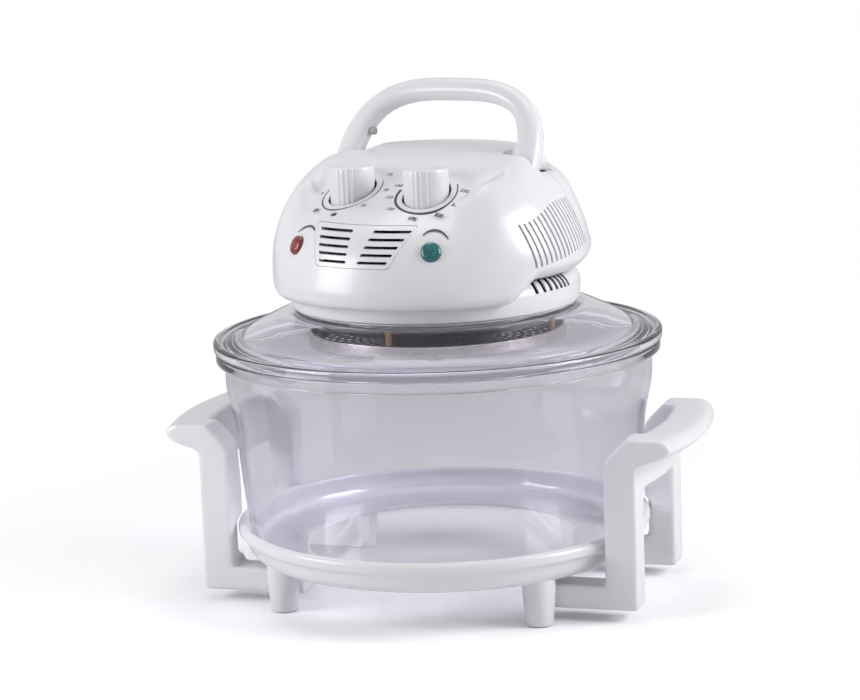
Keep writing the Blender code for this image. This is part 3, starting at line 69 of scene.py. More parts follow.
# Sizes of the power head and its base
HEAD_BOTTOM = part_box("head_base")[0].z
HEAD_RADIUS = 0.125
HEAD_HEIGHT = 0.1165
BASE_RADIUS = 0.1075
BASE_RIM_RADIUS = 0.1095
BASE_HEIGHT = 0.0231
SLOPE_RADIUS = 0.1092
SLOPE_LOW = HEAD_BOTTOM + 0.0157
SLOPE_FALL = 0.81
HOUSING_SCALE = 0.978
HOUSING_CENTRE = 0.040
DECK_LEDGE = HEAD_BOTTOM + 0.0980
PANEL_BACK = 0.020
PANEL_FRONT = 0.105
PANEL_ROUND = 0.112
PANEL_MOST_BEND = 0.9
DECK_SOFTNESS = 0.005
LEDGE_SIDE = (0.0585, 0.0625)
LEDGE_BACK = (0.0, 0.004)
SEAM_LEAN = math.radians(9)
SEAM_PLACE = 0.010
HOUSING_COLUMNS = 432
DECK_RINGS = 84
SIDE_SAMPLES = 56
EDGE_PASSES = 40
CUT_CREASE = 32

# Sizes of the glass, and the steps round it
FINE_STEPS = 224
BOWL_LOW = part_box("glass_bowl")[0].z
BOWL_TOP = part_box("glass_bowl")[1].z
BOWL_RADIUS = 0.162
BOWL_FLANGE_RADIUS = 0.1685
BOWL_WALL = 0.0045
LID_SEAT = BOWL_TOP + 0.0003
LID_RADIUS = 0.170
LID_RISE = 0.0292
LID_WALL = 0.0045

# Sizes of the cradle
RING_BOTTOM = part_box("cradle_ring")[0].z
RING_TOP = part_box("cradle_ring")[1].z
RING_OUTER = 0.1535
RING_INNER = 0.1045
FOOT_TOP_RADIUS = 0.0125
FOOT_TOE_RADIUS = 0.0103
FRAME_GRID = 0.0012
FRAME_PASSES = 26

# Sizes of the knobs, dials, lamps, grille and handle
KNOB_SIDE = 0.0317
KNOB_PLACE = -0.0615
KNOB_RADIUS = 0.0165
KNOB_TOP = HEAD_BOTTOM + 0.1085
KNOB_HEIGHT = 0.029
KNOB_WELL = 0.0182
KNOB_BAND_HALF = 0.0058
KNOB_TURN = math.radians(14)
DIAL_RADIUS = 0.0228
NUMERAL_RADIUS = 0.0283
NUMERAL_SIZE = 0.0046
LAMP_SIDE = 0.0575
LAMP_FORWARD = 0.1015
LAMP_HEIGHT = 0.0542
LAMP_RADIUS = 0.0072
LAMP_TILT = math.radians(23)
# The arc over each lamp: its centre across and up, its radius, its first and last angle
LAMP_ARCS = {-1: ((0.0050, -0.0020), 0.0165, -49, 31), 1: ((0.0026, 0.0041), 0.0111, -47, 68)}
GRILLE_TOP = HEAD_BOTTOM + 0.071
GRILLE_BOTTOM = HEAD_BOTTOM + 0.0425
GRILLE_TOP_HALF = 0.0426
GRILLE_BOTTOM_HALF = 0.0304
GRILLE_SLOTS = 5
PIVOT = np.array((0.0, -0.002, HEAD_BOTTOM + 0.0895))
HANDLE_LEAN = math.radians(32)
HANDLE_FOLD = math.radians(26)
HANDLE_HALF_SPAN = 0.0782
HANDLE_RISE = 0.0779
HANDLE_POWER = 3.1
HANDLE_ROUND = 0.8
HANDLE_HALF_THICK = 0.0083
HANDLE_GRIP_HALF = 0.0082
HANDLE_LEG_HALF = 0.0095
HANDLE_FOOT_HALF = 0.009
HANDLE_FOOT_LENGTH = 0.0085

# Sizes of the guard under the lid
GUARD_RADIUS = 0.0975
GUARD_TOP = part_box("guard_pan")[1].z
GUARD_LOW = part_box("guard_pan")[0].z
GUARD_SHEET = 0.0008
POST_NECK = 0.86

# Printed marks: how far they stand proud, and how far they reach in
PRINT_PROUD = 0.00012
PRINT_SUNK = -0.0003
ARC_SUNK = -0.0004

# Floor, light and the photograph's view, whose lens is its focal length over the picture's width
FLOOR_HALF = 6.0
FLOOR_FADE = (0.24, 0.60)
SHADE_LIGHT = 0.27
GLOSS_SHARE = 0.5
VIEW_TURN = math.radians(18.2)
VIEW_RISE = math.radians(10.737)
VIEW_ROLL = math.radians(2.13)
VIEW_DISTANCE = 2.0
VIEW_LENS = 2631 / 860
VIEW_AIM = Vector((0, 0, 0.200 - 0.01528))
VIEW_LEFT = 0.00621
SENSOR_WIDTH = 36


# Materials: one method for every node, its output passed on to the next
class Nodes:
    """A node tree that is filled one node at a time."""

    def __init__(self, tree):
        self.tree = tree

    def fill(self, socket, value):
        """Links a socket to another node's output, or sets its value."""
        if isinstance(value, bpy.types.NodeSocket):
            self.tree.links.new(value, socket)
        else:
            socket.default_value = value

    def node(self, kind, settings, sockets, output=0):
        """Adds a node: its settings first, then its sockets. Returns one of its outputs."""
        made = self.tree.nodes.new(kind)
        for name, value in settings.items():
            setattr(made, name, value)
        for name, value in sockets.items():
            self.fill(made.inputs[name], value)
        return made.outputs[output]

    def math(self, operation, *values):
        """The result of an operation on values or outputs."""
        return self.node("ShaderNodeMath", {"operation": operation}, dict(enumerate(values)))

    def blend(self, share, first, second):
        """Mixes two colours by a share. Either may be an output."""
        first, second = (
            end if isinstance(end, bpy.types.NodeSocket) else (*end, 1) for end in (first, second)
        )
        return self.node("ShaderNodeMix", {"data_type": "RGBA"}, {"Factor": share, 6: first, 7: second}, 2)

    def ramp(self, value, low, high, kind="LINEAR"):
        """Rises from 0 at low to 1 at high."""
        sockets = {"Value": value, "From Min": low, "From Max": high}
        return self.node("ShaderNodeMapRange", {"interpolation_type": kind}, sockets)


class Finish(Nodes):
    """One material with its Principled shader, and the slot that its pieces are listed under."""

    def __init__(self, name, colour, roughness, metallic=0.0, slot=None, **constants):
        self.name = name
        self.slot = slot or name
        self.material = bpy.data.materials.new(name)
        self.material.use_nodes = True
        super().__init__(self.material.node_tree)
        self.shader = self.tree.nodes["Principled BSDF"]
        constants |= {"Base_Color": (*colour, 1), "Roughness": roughness, "Metallic": metallic}
        for socket, value in constants.items():
            self.feed(socket.replace("_", " "), value)
        self.place = self.node("ShaderNodeTexCoord", {}, {}, "Object")

    def feed(self, name, value):
        """Fills one of the shader's sockets."""
        self.fill(self.shader.inputs[name], value)

    def roughen(self, noise, least, spread):
        """Roughness that follows a noise."""
        self.feed("Roughness", self.math("MULTIPLY_ADD", noise, spread, least))

    def noise(self, scale, detail=2.0, stretch=(1, 1, 1)):
        """Noise over the object's own coordinates, from 0 to 1."""
        vector = self.node("ShaderNodeMapping", {}, {"Vector": self.place, "Scale": stretch})
        sockets = {"Vector": vector, "Scale": scale, "Detail": detail}
        return self.node("ShaderNodeTexNoise", {}, sockets, "Fac")

    def bump(self, height, strength, distance):
        """Raises the surface by a height."""
        sockets = {"Height": height, "Strength": strength, "Distance": distance}
        self.feed("Normal", self.node("ShaderNodeBump", {}, sockets))

    def give_way(self, share, other):
        """Shows another shader in place of the material's own by a share."""
        mixed = self.node("ShaderNodeMixShader", {}, {0: share, 1: self.shader.outputs[0], 2: other})
        self.fill(self.tree.nodes["Material Output"].inputs["Surface"], mixed)


def gloss_moulding(name):
    """Satin gloss moulding with a fine skin. Returns the finish, and faint clouds of cool white for it."""
    made = Finish(name, (0.80, 0.79, 0.82), 0.28, slot="white_plastic", Coat_Weight=0.25, Coat_Roughness=0.12)
    made.roughen(made.noise(25.0, 1.0), 0.26, 0.06)
    made.bump(made.noise(260.0, 1.0), 0.02, 0.0002)
    return made, made.blend(made.noise(9.0, 1.0), (0.815, 0.808, 0.832), (0.838, 0.832, 0.850))


def white_plastic():
    """The white moulding of the housings, knobs, handles and cradle."""
    made, clouds = gloss_moulding("white_plastic")
    made.feed("Base Color", clouds)
    return made


def base_plastic_slot_shade():
    """The same moulding for the base, with black painted shade behind its skin, inside the slots cut into it:
    depth is how far a point lies inside the slope of the shoulder, whose radius falls by SLOPE_FALL for each
    metre of height."""
    made, clouds = gloss_moulding("base_plastic_slot_shade")
    flat = made.node("ShaderNodeVectorMath", {"operation": "MULTIPLY"}, {0: made.place, 1: (1, 1, 0)})
    radius = made.node("ShaderNodeVectorMath", {"operation": "LENGTH"}, {0: flat}, "Value")
    height = made.node("ShaderNodeSeparateXYZ", {}, {0: made.place}, "Z")
    slope = made.math("MULTIPLY_ADD", height, SLOPE_FALL, -SLOPE_LOW * SLOPE_FALL)
    depth = made.math("SUBTRACT", SLOPE_RADIUS, made.math("ADD", radius, slope))
    above = made.ramp(height, SLOPE_LOW - 0.0008, SLOPE_LOW - 0.0006)
    # Painted shade: black wherever the skin is cut through into the shoulder, as in the slots.
    painted_slot_shade = made.math("MULTIPLY", made.ramp(depth, 0.0007, 0.0012), above)
    made.feed("Base Color", made.blend(painted_slot_shade, clouds, (0.012, 0.012, 0.013)))
    return made


def clear_glass(name, tint):
    """Pressed glass: clear with a faint lilac cast and slow waves, light passing into its shadow."""
    made = Finish(name, tint, 0.0, slot="clear_glass", IOR=1.45, Transmission_Weight=1.0)
    made.bump(made.noise(11.0, 1.0), 0.04, 0.002)
    clear = made.node("ShaderNodeBsdfTransparent", {}, {"Color": (0.88, 0.87, 0.91, 1)})
    made.give_way(made.node("ShaderNodeLightPath", {}, {}, "Is Shadow Ray"), clear)
    return made


def metal(name, slot, finish, clouds, patches, grain):
    """A metal: colour, roughness and height each follow a noise of their own. The finish is (colour,
    roughness, metallic), and each noise comes with its two colours, its least value and spread, or its
    strength and distance."""
    made = Finish(name, *finish, slot)
    noise, dark, light = clouds
    made.feed("Base Color", made.blend(made.noise(*noise), dark, light))
    noise, least, spread = patches
    made.roughen(made.noise(*noise), least, spread)
    noise, strength, distance = grain
    made.bump(made.noise(*noise), strength, distance)
    return made


def plain_moulding(name, dark, light, roughness, slot=None):
    """A dull moulding: two near colours in fine grain."""
    made = Finish(name, light, roughness, slot=slot)
    made.feed("Base Color", made.blend(made.noise(220.0, 3.0), dark, light))
    made.roughen(made.noise(350.0), roughness - 0.08, 0.16)
    made.bump(made.noise(1200.0), 0.12, 0.0002)
    return made


def lens(name, deep, bright):
    """A coloured lens with a grid of small facets, each painted brighter towards its middle as a highlight of
    light caught from behind.
    """
    made = Finish(name, deep, 0.12, Coat_Weight=0.6, Coat_Roughness=0.05, IOR=1.5)
    sockets = {"Vector": made.place, "Scale": 330.0}
    cells = made.node("ShaderNodeTexVoronoi", {"distance": "CHEBYCHEV"}, sockets)
    # Painted highlight: the bright colour at each facet's middle stands in for light caught from behind.
    made.feed("Base Color", made.blend(cells, bright, deep))
    made.bump(cells, 0.5, 0.0008)
    made.roughen(made.noise(400.0), 0.10, 0.1)
    return made


def board():
    """Pressed mineral board: fibres and flecks."""
    made = Finish("insulation", (0.70, 0.66, 0.56), 0.9)
    fibres = made.noise(130.0, 5.0, (1, 5, 1))
    made.feed("Base Color", made.blend(fibres, (0.52, 0.48, 0.40), (0.80, 0.76, 0.66)))
    made.bump(made.noise(300.0, 4.0), 0.5, 0.0005)
    return made


WHITE = white_plastic()
BASE_WHITE = base_plastic_slot_shade()
SILICONE = plain_moulding("silicone", (0.60, 0.60, 0.63), (0.70, 0.70, 0.73), 0.5)
GLASS = clear_glass("clear_glass", (0.888, 0.882, 0.912))
LID_GLASS = clear_glass("lid_glass_tint", (0.835, 0.825, 0.880))
# Pressed steel with fine draw lines and soft smudges
STEEL = metal("bright_steel", "bright_steel", ((0.62, 0.60, 0.59), 0.22, 1.0),
              ((30.0, 4.0), (0.50, 0.48, 0.47), (0.68, 0.66, 0.65)),
              ((90.0, 3.0, (1, 1, 12)), 0.16, 0.18), ((500.0, 2.0, (1, 1, 9)), 0.12, 0.0002))
# The guard's floor, dark brownish steel in soft clouds
PERFORATED = metal("perforated_steel", "bright_steel", ((0.06, 0.045, 0.04), 0.5, 0.6),
                   ((45.0, 4.0), (0.020, 0.014, 0.012), (0.10, 0.075, 0.065)),
                   ((120.0,), 0.42, 0.25), ((400.0,), 0.1, 0.0002))
# Blackened steel with a grained skin
DARK = metal("dark_steel", "bright_steel", ((0.09, 0.085, 0.085), 0.45, 0.8),
             ((60.0, 4.0), (0.045, 0.04, 0.04), (0.13, 0.12, 0.115)),
             ((150.0,), 0.35, 0.25), ((600.0,), 0.15, 0.0003))
BRONZE = metal("bronze", "bronze", ((0.50, 0.33, 0.16), 0.30, 1.0),
               ((160.0, 3.0), (0.20, 0.115, 0.05), (0.45, 0.29, 0.14)),
               ((300.0,), 0.22, 0.2), ((900.0,), 0.1, 0.0002))
RUBBER = plain_moulding("grey_rubber", (0.05, 0.05, 0.055), (0.10, 0.10, 0.105), 0.75)
GREY = plain_moulding("grey_plastic", (0.36, 0.36, 0.38), (0.46, 0.46, 0.48), 0.5)
BLACK = plain_moulding("black_plastic", (0.022, 0.022, 0.024), (0.04, 0.04, 0.042), 0.45)
INK = plain_moulding("dial_ink", (0.035, 0.03, 0.035), (0.07, 0.065, 0.07), 0.5, "black_plastic")
RED = lens("red_lens", (0.08, 0.003, 0.002), (0.32, 0.018, 0.010))
GREEN = lens("green_lens", (0.0, 0.028, 0.028), (0.0, 0.21, 0.20))
BOARD = board()


# Meshes worked out as whole arrays
def piece(name, shape, finish, body, stands_for=(), axes=HEAD_AXES, crease=30):
    """A finished piece from a shape, which is (points, faces): turned out of its frame, shaded with edges
    over crease degrees kept sharp, and riding on its body."""
    points, faces = shape
    mesh = bpy.data.meshes.new(name)
    mesh.from_pydata((np.asarray(points) @ axes.T).tolist(), [], faces.tolist())
    work = bmesh.new()
    work.from_mesh(mesh)
    bmesh.ops.remove_doubles(work, verts=work.verts, dist=1e-7)
    bmesh.ops.dissolve_degenerate(work, edges=work.edges, dist=1e-8)
    bmesh.ops.recalc_face_normals(work, faces=work.faces)
    work.to_mesh(mesh)
    work.free()
    return settle(name, mesh, finish, body, stands_for, crease)


def settle(name, mesh, finish, body, stands_for=(), crease=30):
    """Makes the mesh an object with its finish, its body and the nodes that it stands for."""
    mesh.materials.clear()
    mesh.materials.append(finish.material)
    mesh.shade_smooth()
    mesh.set_sharp_from_angle(angle=math.radians(crease))
    made = bpy.data.objects.new(name, mesh)
    bpy.context.scene.collection.objects.link(made)
    if body:
        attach(made, body)
    if stands_for:
        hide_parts(*stands_for)
    return made


def evaluated(made):
    """An object's mesh with its modifiers applied."""
    bpy.context.view_layer.update()
    return bpy.data.meshes.new_from_object(made.evaluated_get(bpy.context.evaluated_depsgraph_get()))


def grid_faces(rows, columns, round_rows=False):
    """The quads of a grid of points, numbered row by row. Each row's end joins its start, and with
    round_rows the last row joins the first."""
    row = np.arange(rows if round_rows else rows - 1)[:, None]
    column = np.arange(columns)[None, :]
    next_row = (row + 1) % rows
    next_column = (column + 1) % columns
    corners = (row * columns + column, row * columns + next_column,
               next_row * columns + next_column, next_row * columns + column)
    return np.stack([corner.ravel() for corner in np.broadcast_arrays(*corners)], axis=1)


def polar(radius, angle, height):
    """Points at a radius, an angle from the front and a height: x = r sin a, y = -r cos a."""
    return np.stack(np.broadcast_arrays(radius * np.sin(angle), -radius * np.cos(angle), height), axis=-1)


def turned(outline, steps=192, closed=False):
    """An outline of (radius, height) carried round Z. A closed outline's end joins its start. Returns points
    and faces."""
    outline = np.asarray(outline, float)
    points = polar(outline[:, :1], np.linspace(0, math.tau, steps, endpoint=False), outline[:, 1:])
    return points.reshape(-1, 3), grid_faces(len(outline), steps, closed)


def turned_at(node, outline, steps):
    """An outline turned round the upright line through the middle of a node's box."""
    low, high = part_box(node)
    points, faces = turned(outline, steps)
    return points + ((low.x + high.x) / 2, (low.y + high.y) / 2, 0), faces


def softened(outline, radius, samples=6, closed=False):
    """Rounds each corner of an outline: a quadratic curve from one edge to the next, radius back from the
    corner or less where an edge is short. A radius may be given for each corner; open ends stay sharp."""
    corner = np.asarray(outline, float)
    before, after = np.roll(corner, 1, axis=0), np.roll(corner, -1, axis=0)
    length_in = np.linalg.norm(before - corner, axis=1)
    length_out = np.linalg.norm(after - corner, axis=1)
    radius = np.broadcast_to(np.asarray(radius, float), length_in.shape).copy()
    if not closed:
        radius[[0, -1]] = 0
    back = np.minimum(radius, 0.48 * length_in)[:, None] / np.maximum(length_in, 1e-9)[:, None]
    ahead = np.minimum(radius, 0.48 * length_out)[:, None] / np.maximum(length_out, 1e-9)[:, None]
    start = corner + (before - corner) * back
    end = corner + (after - corner) * ahead
    share = np.linspace(0, 1, samples)[None, :, None]
    curve = (1 - share) ** 2 * start[:, None] + 2 * share * (1 - share) * corner[:, None]
    curve += share ** 2 * end[:, None]
    return curve.reshape(-1, curve.shape[-1])


def drawn_in(outline, distance):
    """Moves an open outline to its left: each corner along the mean of the normals beside it, and further
    where it turns more sharply."""
    edge = np.diff(outline, axis=0)
    edge /= np.linalg.norm(edge, axis=1, keepdims=True)
    normal = np.stack([-edge[:, 1], edge[:, 0]], axis=1)
    before, after = np.vstack([normal[:1], normal]), np.vstack([normal, normal[-1:]])
    mean = before + after
    return outline + 2 * distance * mean / (mean ** 2).sum(axis=1, keepdims=True)


def along_table(table, place):
    """A smooth curve through a table of (place, value): a cubic on each span, whose end slopes are the
    harmonic means of the spans beside them, so that it never overshoots."""
    x, y = np.array(table, float).T
    step = np.diff(x)
    rise = np.diff(y) / step
    slope = np.zeros_like(y)
    product = rise[:-1] * rise[1:]
    total = np.where(product > 0, rise[:-1] + rise[1:], 1.0)
    slope[1:-1] = np.where(product > 0, 2 * product / total, 0.0)
    slope[0], slope[-1] = rise[0], rise[-1]
    place = np.clip(place, x[0], x[-1])
    span = np.clip(np.searchsorted(x, place, side="right") - 1, 0, len(step) - 1)
    t = (place - x[span]) / step[span]
    return (
        y[span] * (1 + 2 * t) * (1 - t) ** 2 + slope[span] * step[span] * t * (1 - t) ** 2
        + y[span + 1] * t * t * (3 - 2 * t) + slope[span + 1] * step[span] * t * t * (t - 1)
    )


def eased(value, low, high):
    """Rises smoothly from 0 at low to 1 at high."""
    share = np.clip((value - low) / (high - low), 0, 1)
    return share * share * (3 - 2 * share)


def through(rows, samples):
    """Catmull-Rom curves through the points of each row: each sample mixes the four points round it."""
    count = rows.shape[1]
    place = np.linspace(0, count - 1, samples)
    first = np.minimum(place.astype(int), count - 2)
    t = place - first
    weights = np.stack([
        -t / 2 + t * t - t ** 3 / 2, 1 - 2.5 * t * t + 1.5 * t ** 3,
        t / 2 + 2 * t * t - 1.5 * t ** 3, -t * t / 2 + t ** 3 / 2,
    ])
    picked = np.clip(first + np.arange(-1, 3)[:, None], 0, count - 1)
    return np.einsum("ks,cksd->csd", weights, rows[:, picked])


def box_mesh(low, high):
    """The eight corners and six faces of an upright box."""
    corner = np.array([[x, y, z] for x in (0, 1) for y in (0, 1) for z in (0, 1)], float)
    points = np.asarray(low) + corner * (np.asarray(high) - np.asarray(low))
    faces = np.array([(0, 1, 3, 2), (4, 6, 7, 5), (0, 4, 5, 1), (2, 3, 7, 6), (0, 2, 6, 4), (1, 5, 7, 3)])
    return points, faces


def tube(sections):
    """Equal closed sections one after the other, with a fan over each end. Returns points and faces."""
    sections = np.asarray(sections, float)
    count, sides = sections.shape[:2]
    ends = np.repeat(sections[[0, -1]].mean(axis=1, keepdims=True), sides, axis=1)
    closed = np.concatenate([ends[:1], sections, ends[1:]])
    return closed.reshape(-1, 3), grid_faces(count + 2, sides)


def block(outline, axis, near, far):
    """A flat outline carried from near to far along X (axis 0) or Y (axis 1)."""
    return tube([np.insert(outline, axis, end, axis=1) for end in (near, far)])


def joined(*parts):
    """Several (points, faces) as one."""
    offsets = np.cumsum([0] + [len(points) for points, _ in parts[:-1]])
    faces = [part[1] + offset for part, offset in zip(parts, offsets)]
    return np.concatenate([points for points, _ in parts]), np.concatenate(faces)


def carved(target, *cuts, operation="DIFFERENCE"):
    """Cuts shapes out of a piece, or keeps what they share with it, as its new mesh."""
    cutters = [piece("cutter", cut, WHITE, None) for cut in cuts]
    for cutter in cutters:
        step = target.modifiers.new("cut", "BOOLEAN")
        step.operation = operation
        step.solver = "MANIFOLD"
        step.object = cutter
    mesh = evaluated(target)
    target.modifiers.clear()
    target.data = mesh
    mesh.shade_smooth()
    mesh.set_sharp_from_angle(angle=math.radians(CUT_CREASE))
    for cutter in cutters:
        bpy.data.objects.remove(cutter, do_unlink=True)


# Cradle
def cradle_ring():
    """The dish that holds the bowl: a rolled lip, a wall drawn in to a rounded underside, and a ledge."""
    lip_reach, lip_height = 0.0045, 0.0092
    lip = [
        (RING_OUTER + out * lip_reach, RING_TOP - lip_height + up * lip_height) for out, up in
        ((0.10, -0.10), (0.84, 0.06), (1.04, 0.45), (0.88, 0.82), (0.40, 1.0), (-0.30, 0.98), (-0.60, 0.72))
    ]
    outline = [
        (RING_INNER, RING_BOTTOM), (0.1360, RING_BOTTOM), (0.1455, RING_BOTTOM + 0.0022),
        (0.1505, RING_BOTTOM + 0.0075), (0.1526, RING_BOTTOM + 0.0140), *lip, (0.1507, RING_TOP - 0.008),
        (0.1495, RING_BOTTOM + 0.011), (0.1450, RING_BOTTOM + 0.0048), (0.1380, RING_BOTTOM + 0.0033),
        (RING_INNER, RING_BOTTOM + 0.0033),
    ]
    dish = turned(softened(outline, 0.004, closed=True), closed=True)
    piece("ring_dish", dish, WHITE, "cradle", ("cradle_ring",), BOWL_AXES)


def foot(node):
    """A tapered peg with a rounded toe, its top let into the dish."""
    low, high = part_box(node)
    outline = [
        (0, high.z + 0.004), (FOOT_TOP_RADIUS - 0.0005, high.z + 0.004), (FOOT_TOP_RADIUS, high.z - 0.004),
        (FOOT_TOE_RADIUS, low.z), (0.0084, low.z), (0.0083, low.z + 0.0011), (0, low.z + 0.0011),
    ]
    peg = turned_at(node, softened(outline, (0, 0, 0.003, 0.0028, 0.0003, 0.0003, 0)), 64)
    piece(node.replace("foot", "peg"), peg, WHITE, "cradle", (node,), BOWL_AXES)


def handle_frame(node):
    """A side frame: posts, arms and grip as one moulding with every edge rounded off. Its plain shape is
    drawn again on a fine grid and relaxed, each point moving towards the mean of its neighbours."""
    mesh = frame["nodes"][node].data.copy()
    work = bmesh.new()
    work.from_mesh(mesh)
    bmesh.ops.remove_doubles(work, verts=work.verts, dist=1e-5)
    work.to_mesh(mesh)
    work.free()
    made = settle(node.replace("handle_frame", "side_frame"), mesh, WHITE, "cradle", (node,))
    fine = made.modifiers.new("fine", "REMESH")
    fine.mode = "VOXEL"
    fine.voxel_size = FRAME_GRID
    relaxed = made.modifiers.new("relaxed", "SMOOTH")
    relaxed.factor = 0.5
    relaxed.iterations = FRAME_PASSES
    mesh = evaluated(made)
    made.modifiers.clear()
    made.data = mesh
    mesh.shade_smooth()


# Glass
def glass_bowl():
    """The bowl, one outline up its outside, over the bead of its flange and down its inside."""
    height = BOWL_TOP - BOWL_LOW
    shares = np.array((
        (0.0, 0.0), (0.80, 0.0), (0.872, 0.010), (0.912, 0.050), (0.926, 0.176), (0.951, 0.426),
        (0.9605, 0.611), (0.975, 0.688), (0.996, 0.791), (1.0, 0.855),
    ))
    corners = np.stack([shares[:, 0] * BOWL_RADIUS, BOWL_LOW + shares[:, 1] * height], axis=1)
    radii = (0, 0.02, 0.006, 0.006, 0.02, 0.02, 0.008, 0.01, 0.008, 0)
    outer = softened(corners, radii, 8)
    inner = softened(drawn_in(corners, BOWL_WALL), radii, 8)
    flange = softened([
        outer[-1], (BOWL_RADIUS, BOWL_TOP - 0.0087), (BOWL_FLANGE_RADIUS, BOWL_TOP - 0.0085),
        (BOWL_FLANGE_RADIUS, BOWL_TOP), (BOWL_RADIUS - BOWL_WALL, BOWL_TOP), inner[-1],
    ], (0, 0.0012, 0.0020, 0.0016, 0.0016, 0))
    bowl = turned(np.concatenate([outer, flange, inner[::-1]]), FINE_STEPS)
    piece("bowl_glass", bowl, GLASS, "bowl", ("glass_bowl",), BOWL_AXES, 50)


def glass_lid():
    """The lid: a beaded flange on the bowl, a lip inside it, and the dome up to the land round its hole."""
    top = LID_SEAT + 0.007
    dome = [(0.1500, LID_SEAT + 0.010), (0.1374, LID_SEAT + 0.0169), (0.1235, LID_SEAT + 0.0234),
            (0.1130, LID_SEAT + 0.0279), (0.1080, LID_SEAT + LID_RISE)]
    under = [(radius, height - LID_WALL) for radius, height in dome]
    outline = [
        (LID_RADIUS, LID_SEAT), (LID_RADIUS, top), (0.1655, top + 0.0004), (0.1640, top - 0.0010),
        (0.1600, top - 0.0008), (0.1580, top), *dome, (0.1002, LID_SEAT + LID_RISE),
        (0.1002, LID_SEAT + LID_RISE - LID_WALL), *reversed(under), (0.1515, LID_SEAT - 0.003),
        (0.1560, LID_SEAT - 0.003), (0.1560, LID_SEAT),
    ]
    radii = (0.0016, 0.0022, 0.0015, 0.001, 0.001, 0.002, 0.004, 0.006, 0.006, 0.004, 0.003, 0.001, 0.001,
             0.003, 0.004, 0.006, 0.006, 0.004, 0.0015, 0.0015, 0.001)
    lid = turned(softened(outline, radii, closed=True), FINE_STEPS, closed=True)
    piece("lid_glass", lid, LID_GLASS, "lid_head", ("glass_lid",), BOWL_AXES, 50)


# Guard under the lid
def guard():
    """The pan: a drawn wall with a rolled rim, and a floor whose cells are punched out in rings."""
    foot_reach, rim_reach = GUARD_RADIUS - 0.006, GUARD_RADIUS - 0.0022
    painted_slot_shade, roof, base = GUARD_RADIUS - GUARD_SHEET, GUARD_TOP - GUARD_SHEET, GUARD_LOW + GUARD_SHEET
    wall = softened([
        (foot_reach, GUARD_LOW), (GUARD_RADIUS, GUARD_LOW), (GUARD_RADIUS, GUARD_TOP), (rim_reach, GUARD_TOP),
        (rim_reach, roof), (painted_slot_shade, roof), (painted_slot_shade, base), (foot_reach, base),
    ], (0.0002, 0.002, 0.0006, 0.0006, 0.0002, 0.0006, 0.0016, 0.0002), 4, closed=True)
    piece("guard_rim", turned(wall, 160, closed=True), STEEL, "lid_head", ("guard_pan",))
    ring_count, cell_count = 29, 144
    radius = np.linspace(0.010, GUARD_RADIUS - 0.0055, ring_count)
    level = np.full_like(radius, GUARD_LOW + 0.00035)
    points, faces = turned(np.stack([radius, level], axis=1), cell_count)
    ring, cell = np.divmod(np.arange(len(faces)), cell_count)
    solid = (ring % 2 == 0) | ((cell + ring) % 4 == 0) | (ring < 3) | (ring > ring_count - 4)
    cells = piece("guard_floor", (points, faces[solid]), PERFORATED, "lid_head")
    sheet = cells.modifiers.new("sheet", "SOLIDIFY")
    sheet.thickness = 0.0007
    sheet.offset = 0


def reflector():
    """The plate over the heating element: a shallow hat with pressed ribs."""
    low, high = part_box("reflector_plate")
    ribs = [(0.086 - 0.0075 * index, high.z - 0.0011 - 0.0012 * (index % 2)) for index in range(8)]
    outline = [
        (0.105, low.z), (0.105, low.z + 0.0009), (0.0985, low.z + 0.0009), (0.0985, high.z),
        (0.008, high.z), (0.008, high.z - 0.001), *ribs[::-1], (0.0972, high.z - 0.0012), (0.0972, low.z),
    ]
    dish = turned(softened(outline, 0.0012, 4, closed=True), 128, closed=True)
    piece("reflector_dish", dish, DARK, "lid_head", ("reflector_plate",))


def guard_post(node):
    """A turned post with a collar at each end."""
    low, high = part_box(node)
    radius = (high.x - low.x) / 2
    neck = radius * POST_NECK
    outline = [
        (0, low.z), (radius, low.z), (radius, low.z + 0.0014), (neck, low.z + 0.0018),
        (neck, high.z - 0.0018), (radius, high.z - 0.0014), (radius, high.z), (0, high.z),
    ]
    post = turned_at(node, softened(outline, 0.0003, 3), 40)
    piece(node.replace("post", "pillar"), post, BRONZE, "lid_head", (node,), BOWL_AXES)


# Head base
def head_base():
    """The round base on the lid: a full rim, a shoulder that draws in under the housing, and its slots."""
    shares = ((-0.6, 0.0), (0.35, 0.03), (0.9, 0.30), (1.0, 0.52), (0.85, 0.68), (0.25, 0.79), (-0.85, 0.91),
              (-2.15, 1.0), (-3.0, 1.02))
    step = BASE_RIM_RADIUS - BASE_RADIUS
    outer = [(BASE_RADIUS + out * step, HEAD_BOTTOM + up * BASE_HEIGHT) for out, up in shares]
    outline = [
        (0.012, HEAD_BOTTOM), *outer, (0.0990, HEAD_BOTTOM + 0.0228), (0.1040, HEAD_BOTTOM + 0.0160),
        (0.1050, HEAD_BOTTOM + 0.0025), (0.012, HEAD_BOTTOM + 0.0025),
    ]
    ring = turned(softened(outline, 0.003, closed=True), FINE_STEPS, closed=True)
    base = piece("base_ring", ring, BASE_WHITE, "lid_head", ("head_base",))
    angles = np.radians((73.1, 77.6, 81.6, 85.4, 88.7, 91.8, 94.8))
    low, high = HEAD_BOTTOM + 0.0150, HEAD_BOTTOM + 0.0262
    slots = []
    for side in (-1, 1):
        for angle in angles * side:
            corners, sides = box_mesh((-0.0018, -0.1150, low), (0.0018, -0.0985, high))
            slots.append((corners @ np.array(Matrix.Rotation(angle, 3, "Z")).T, sides))
    carved(base, joined(*slots))


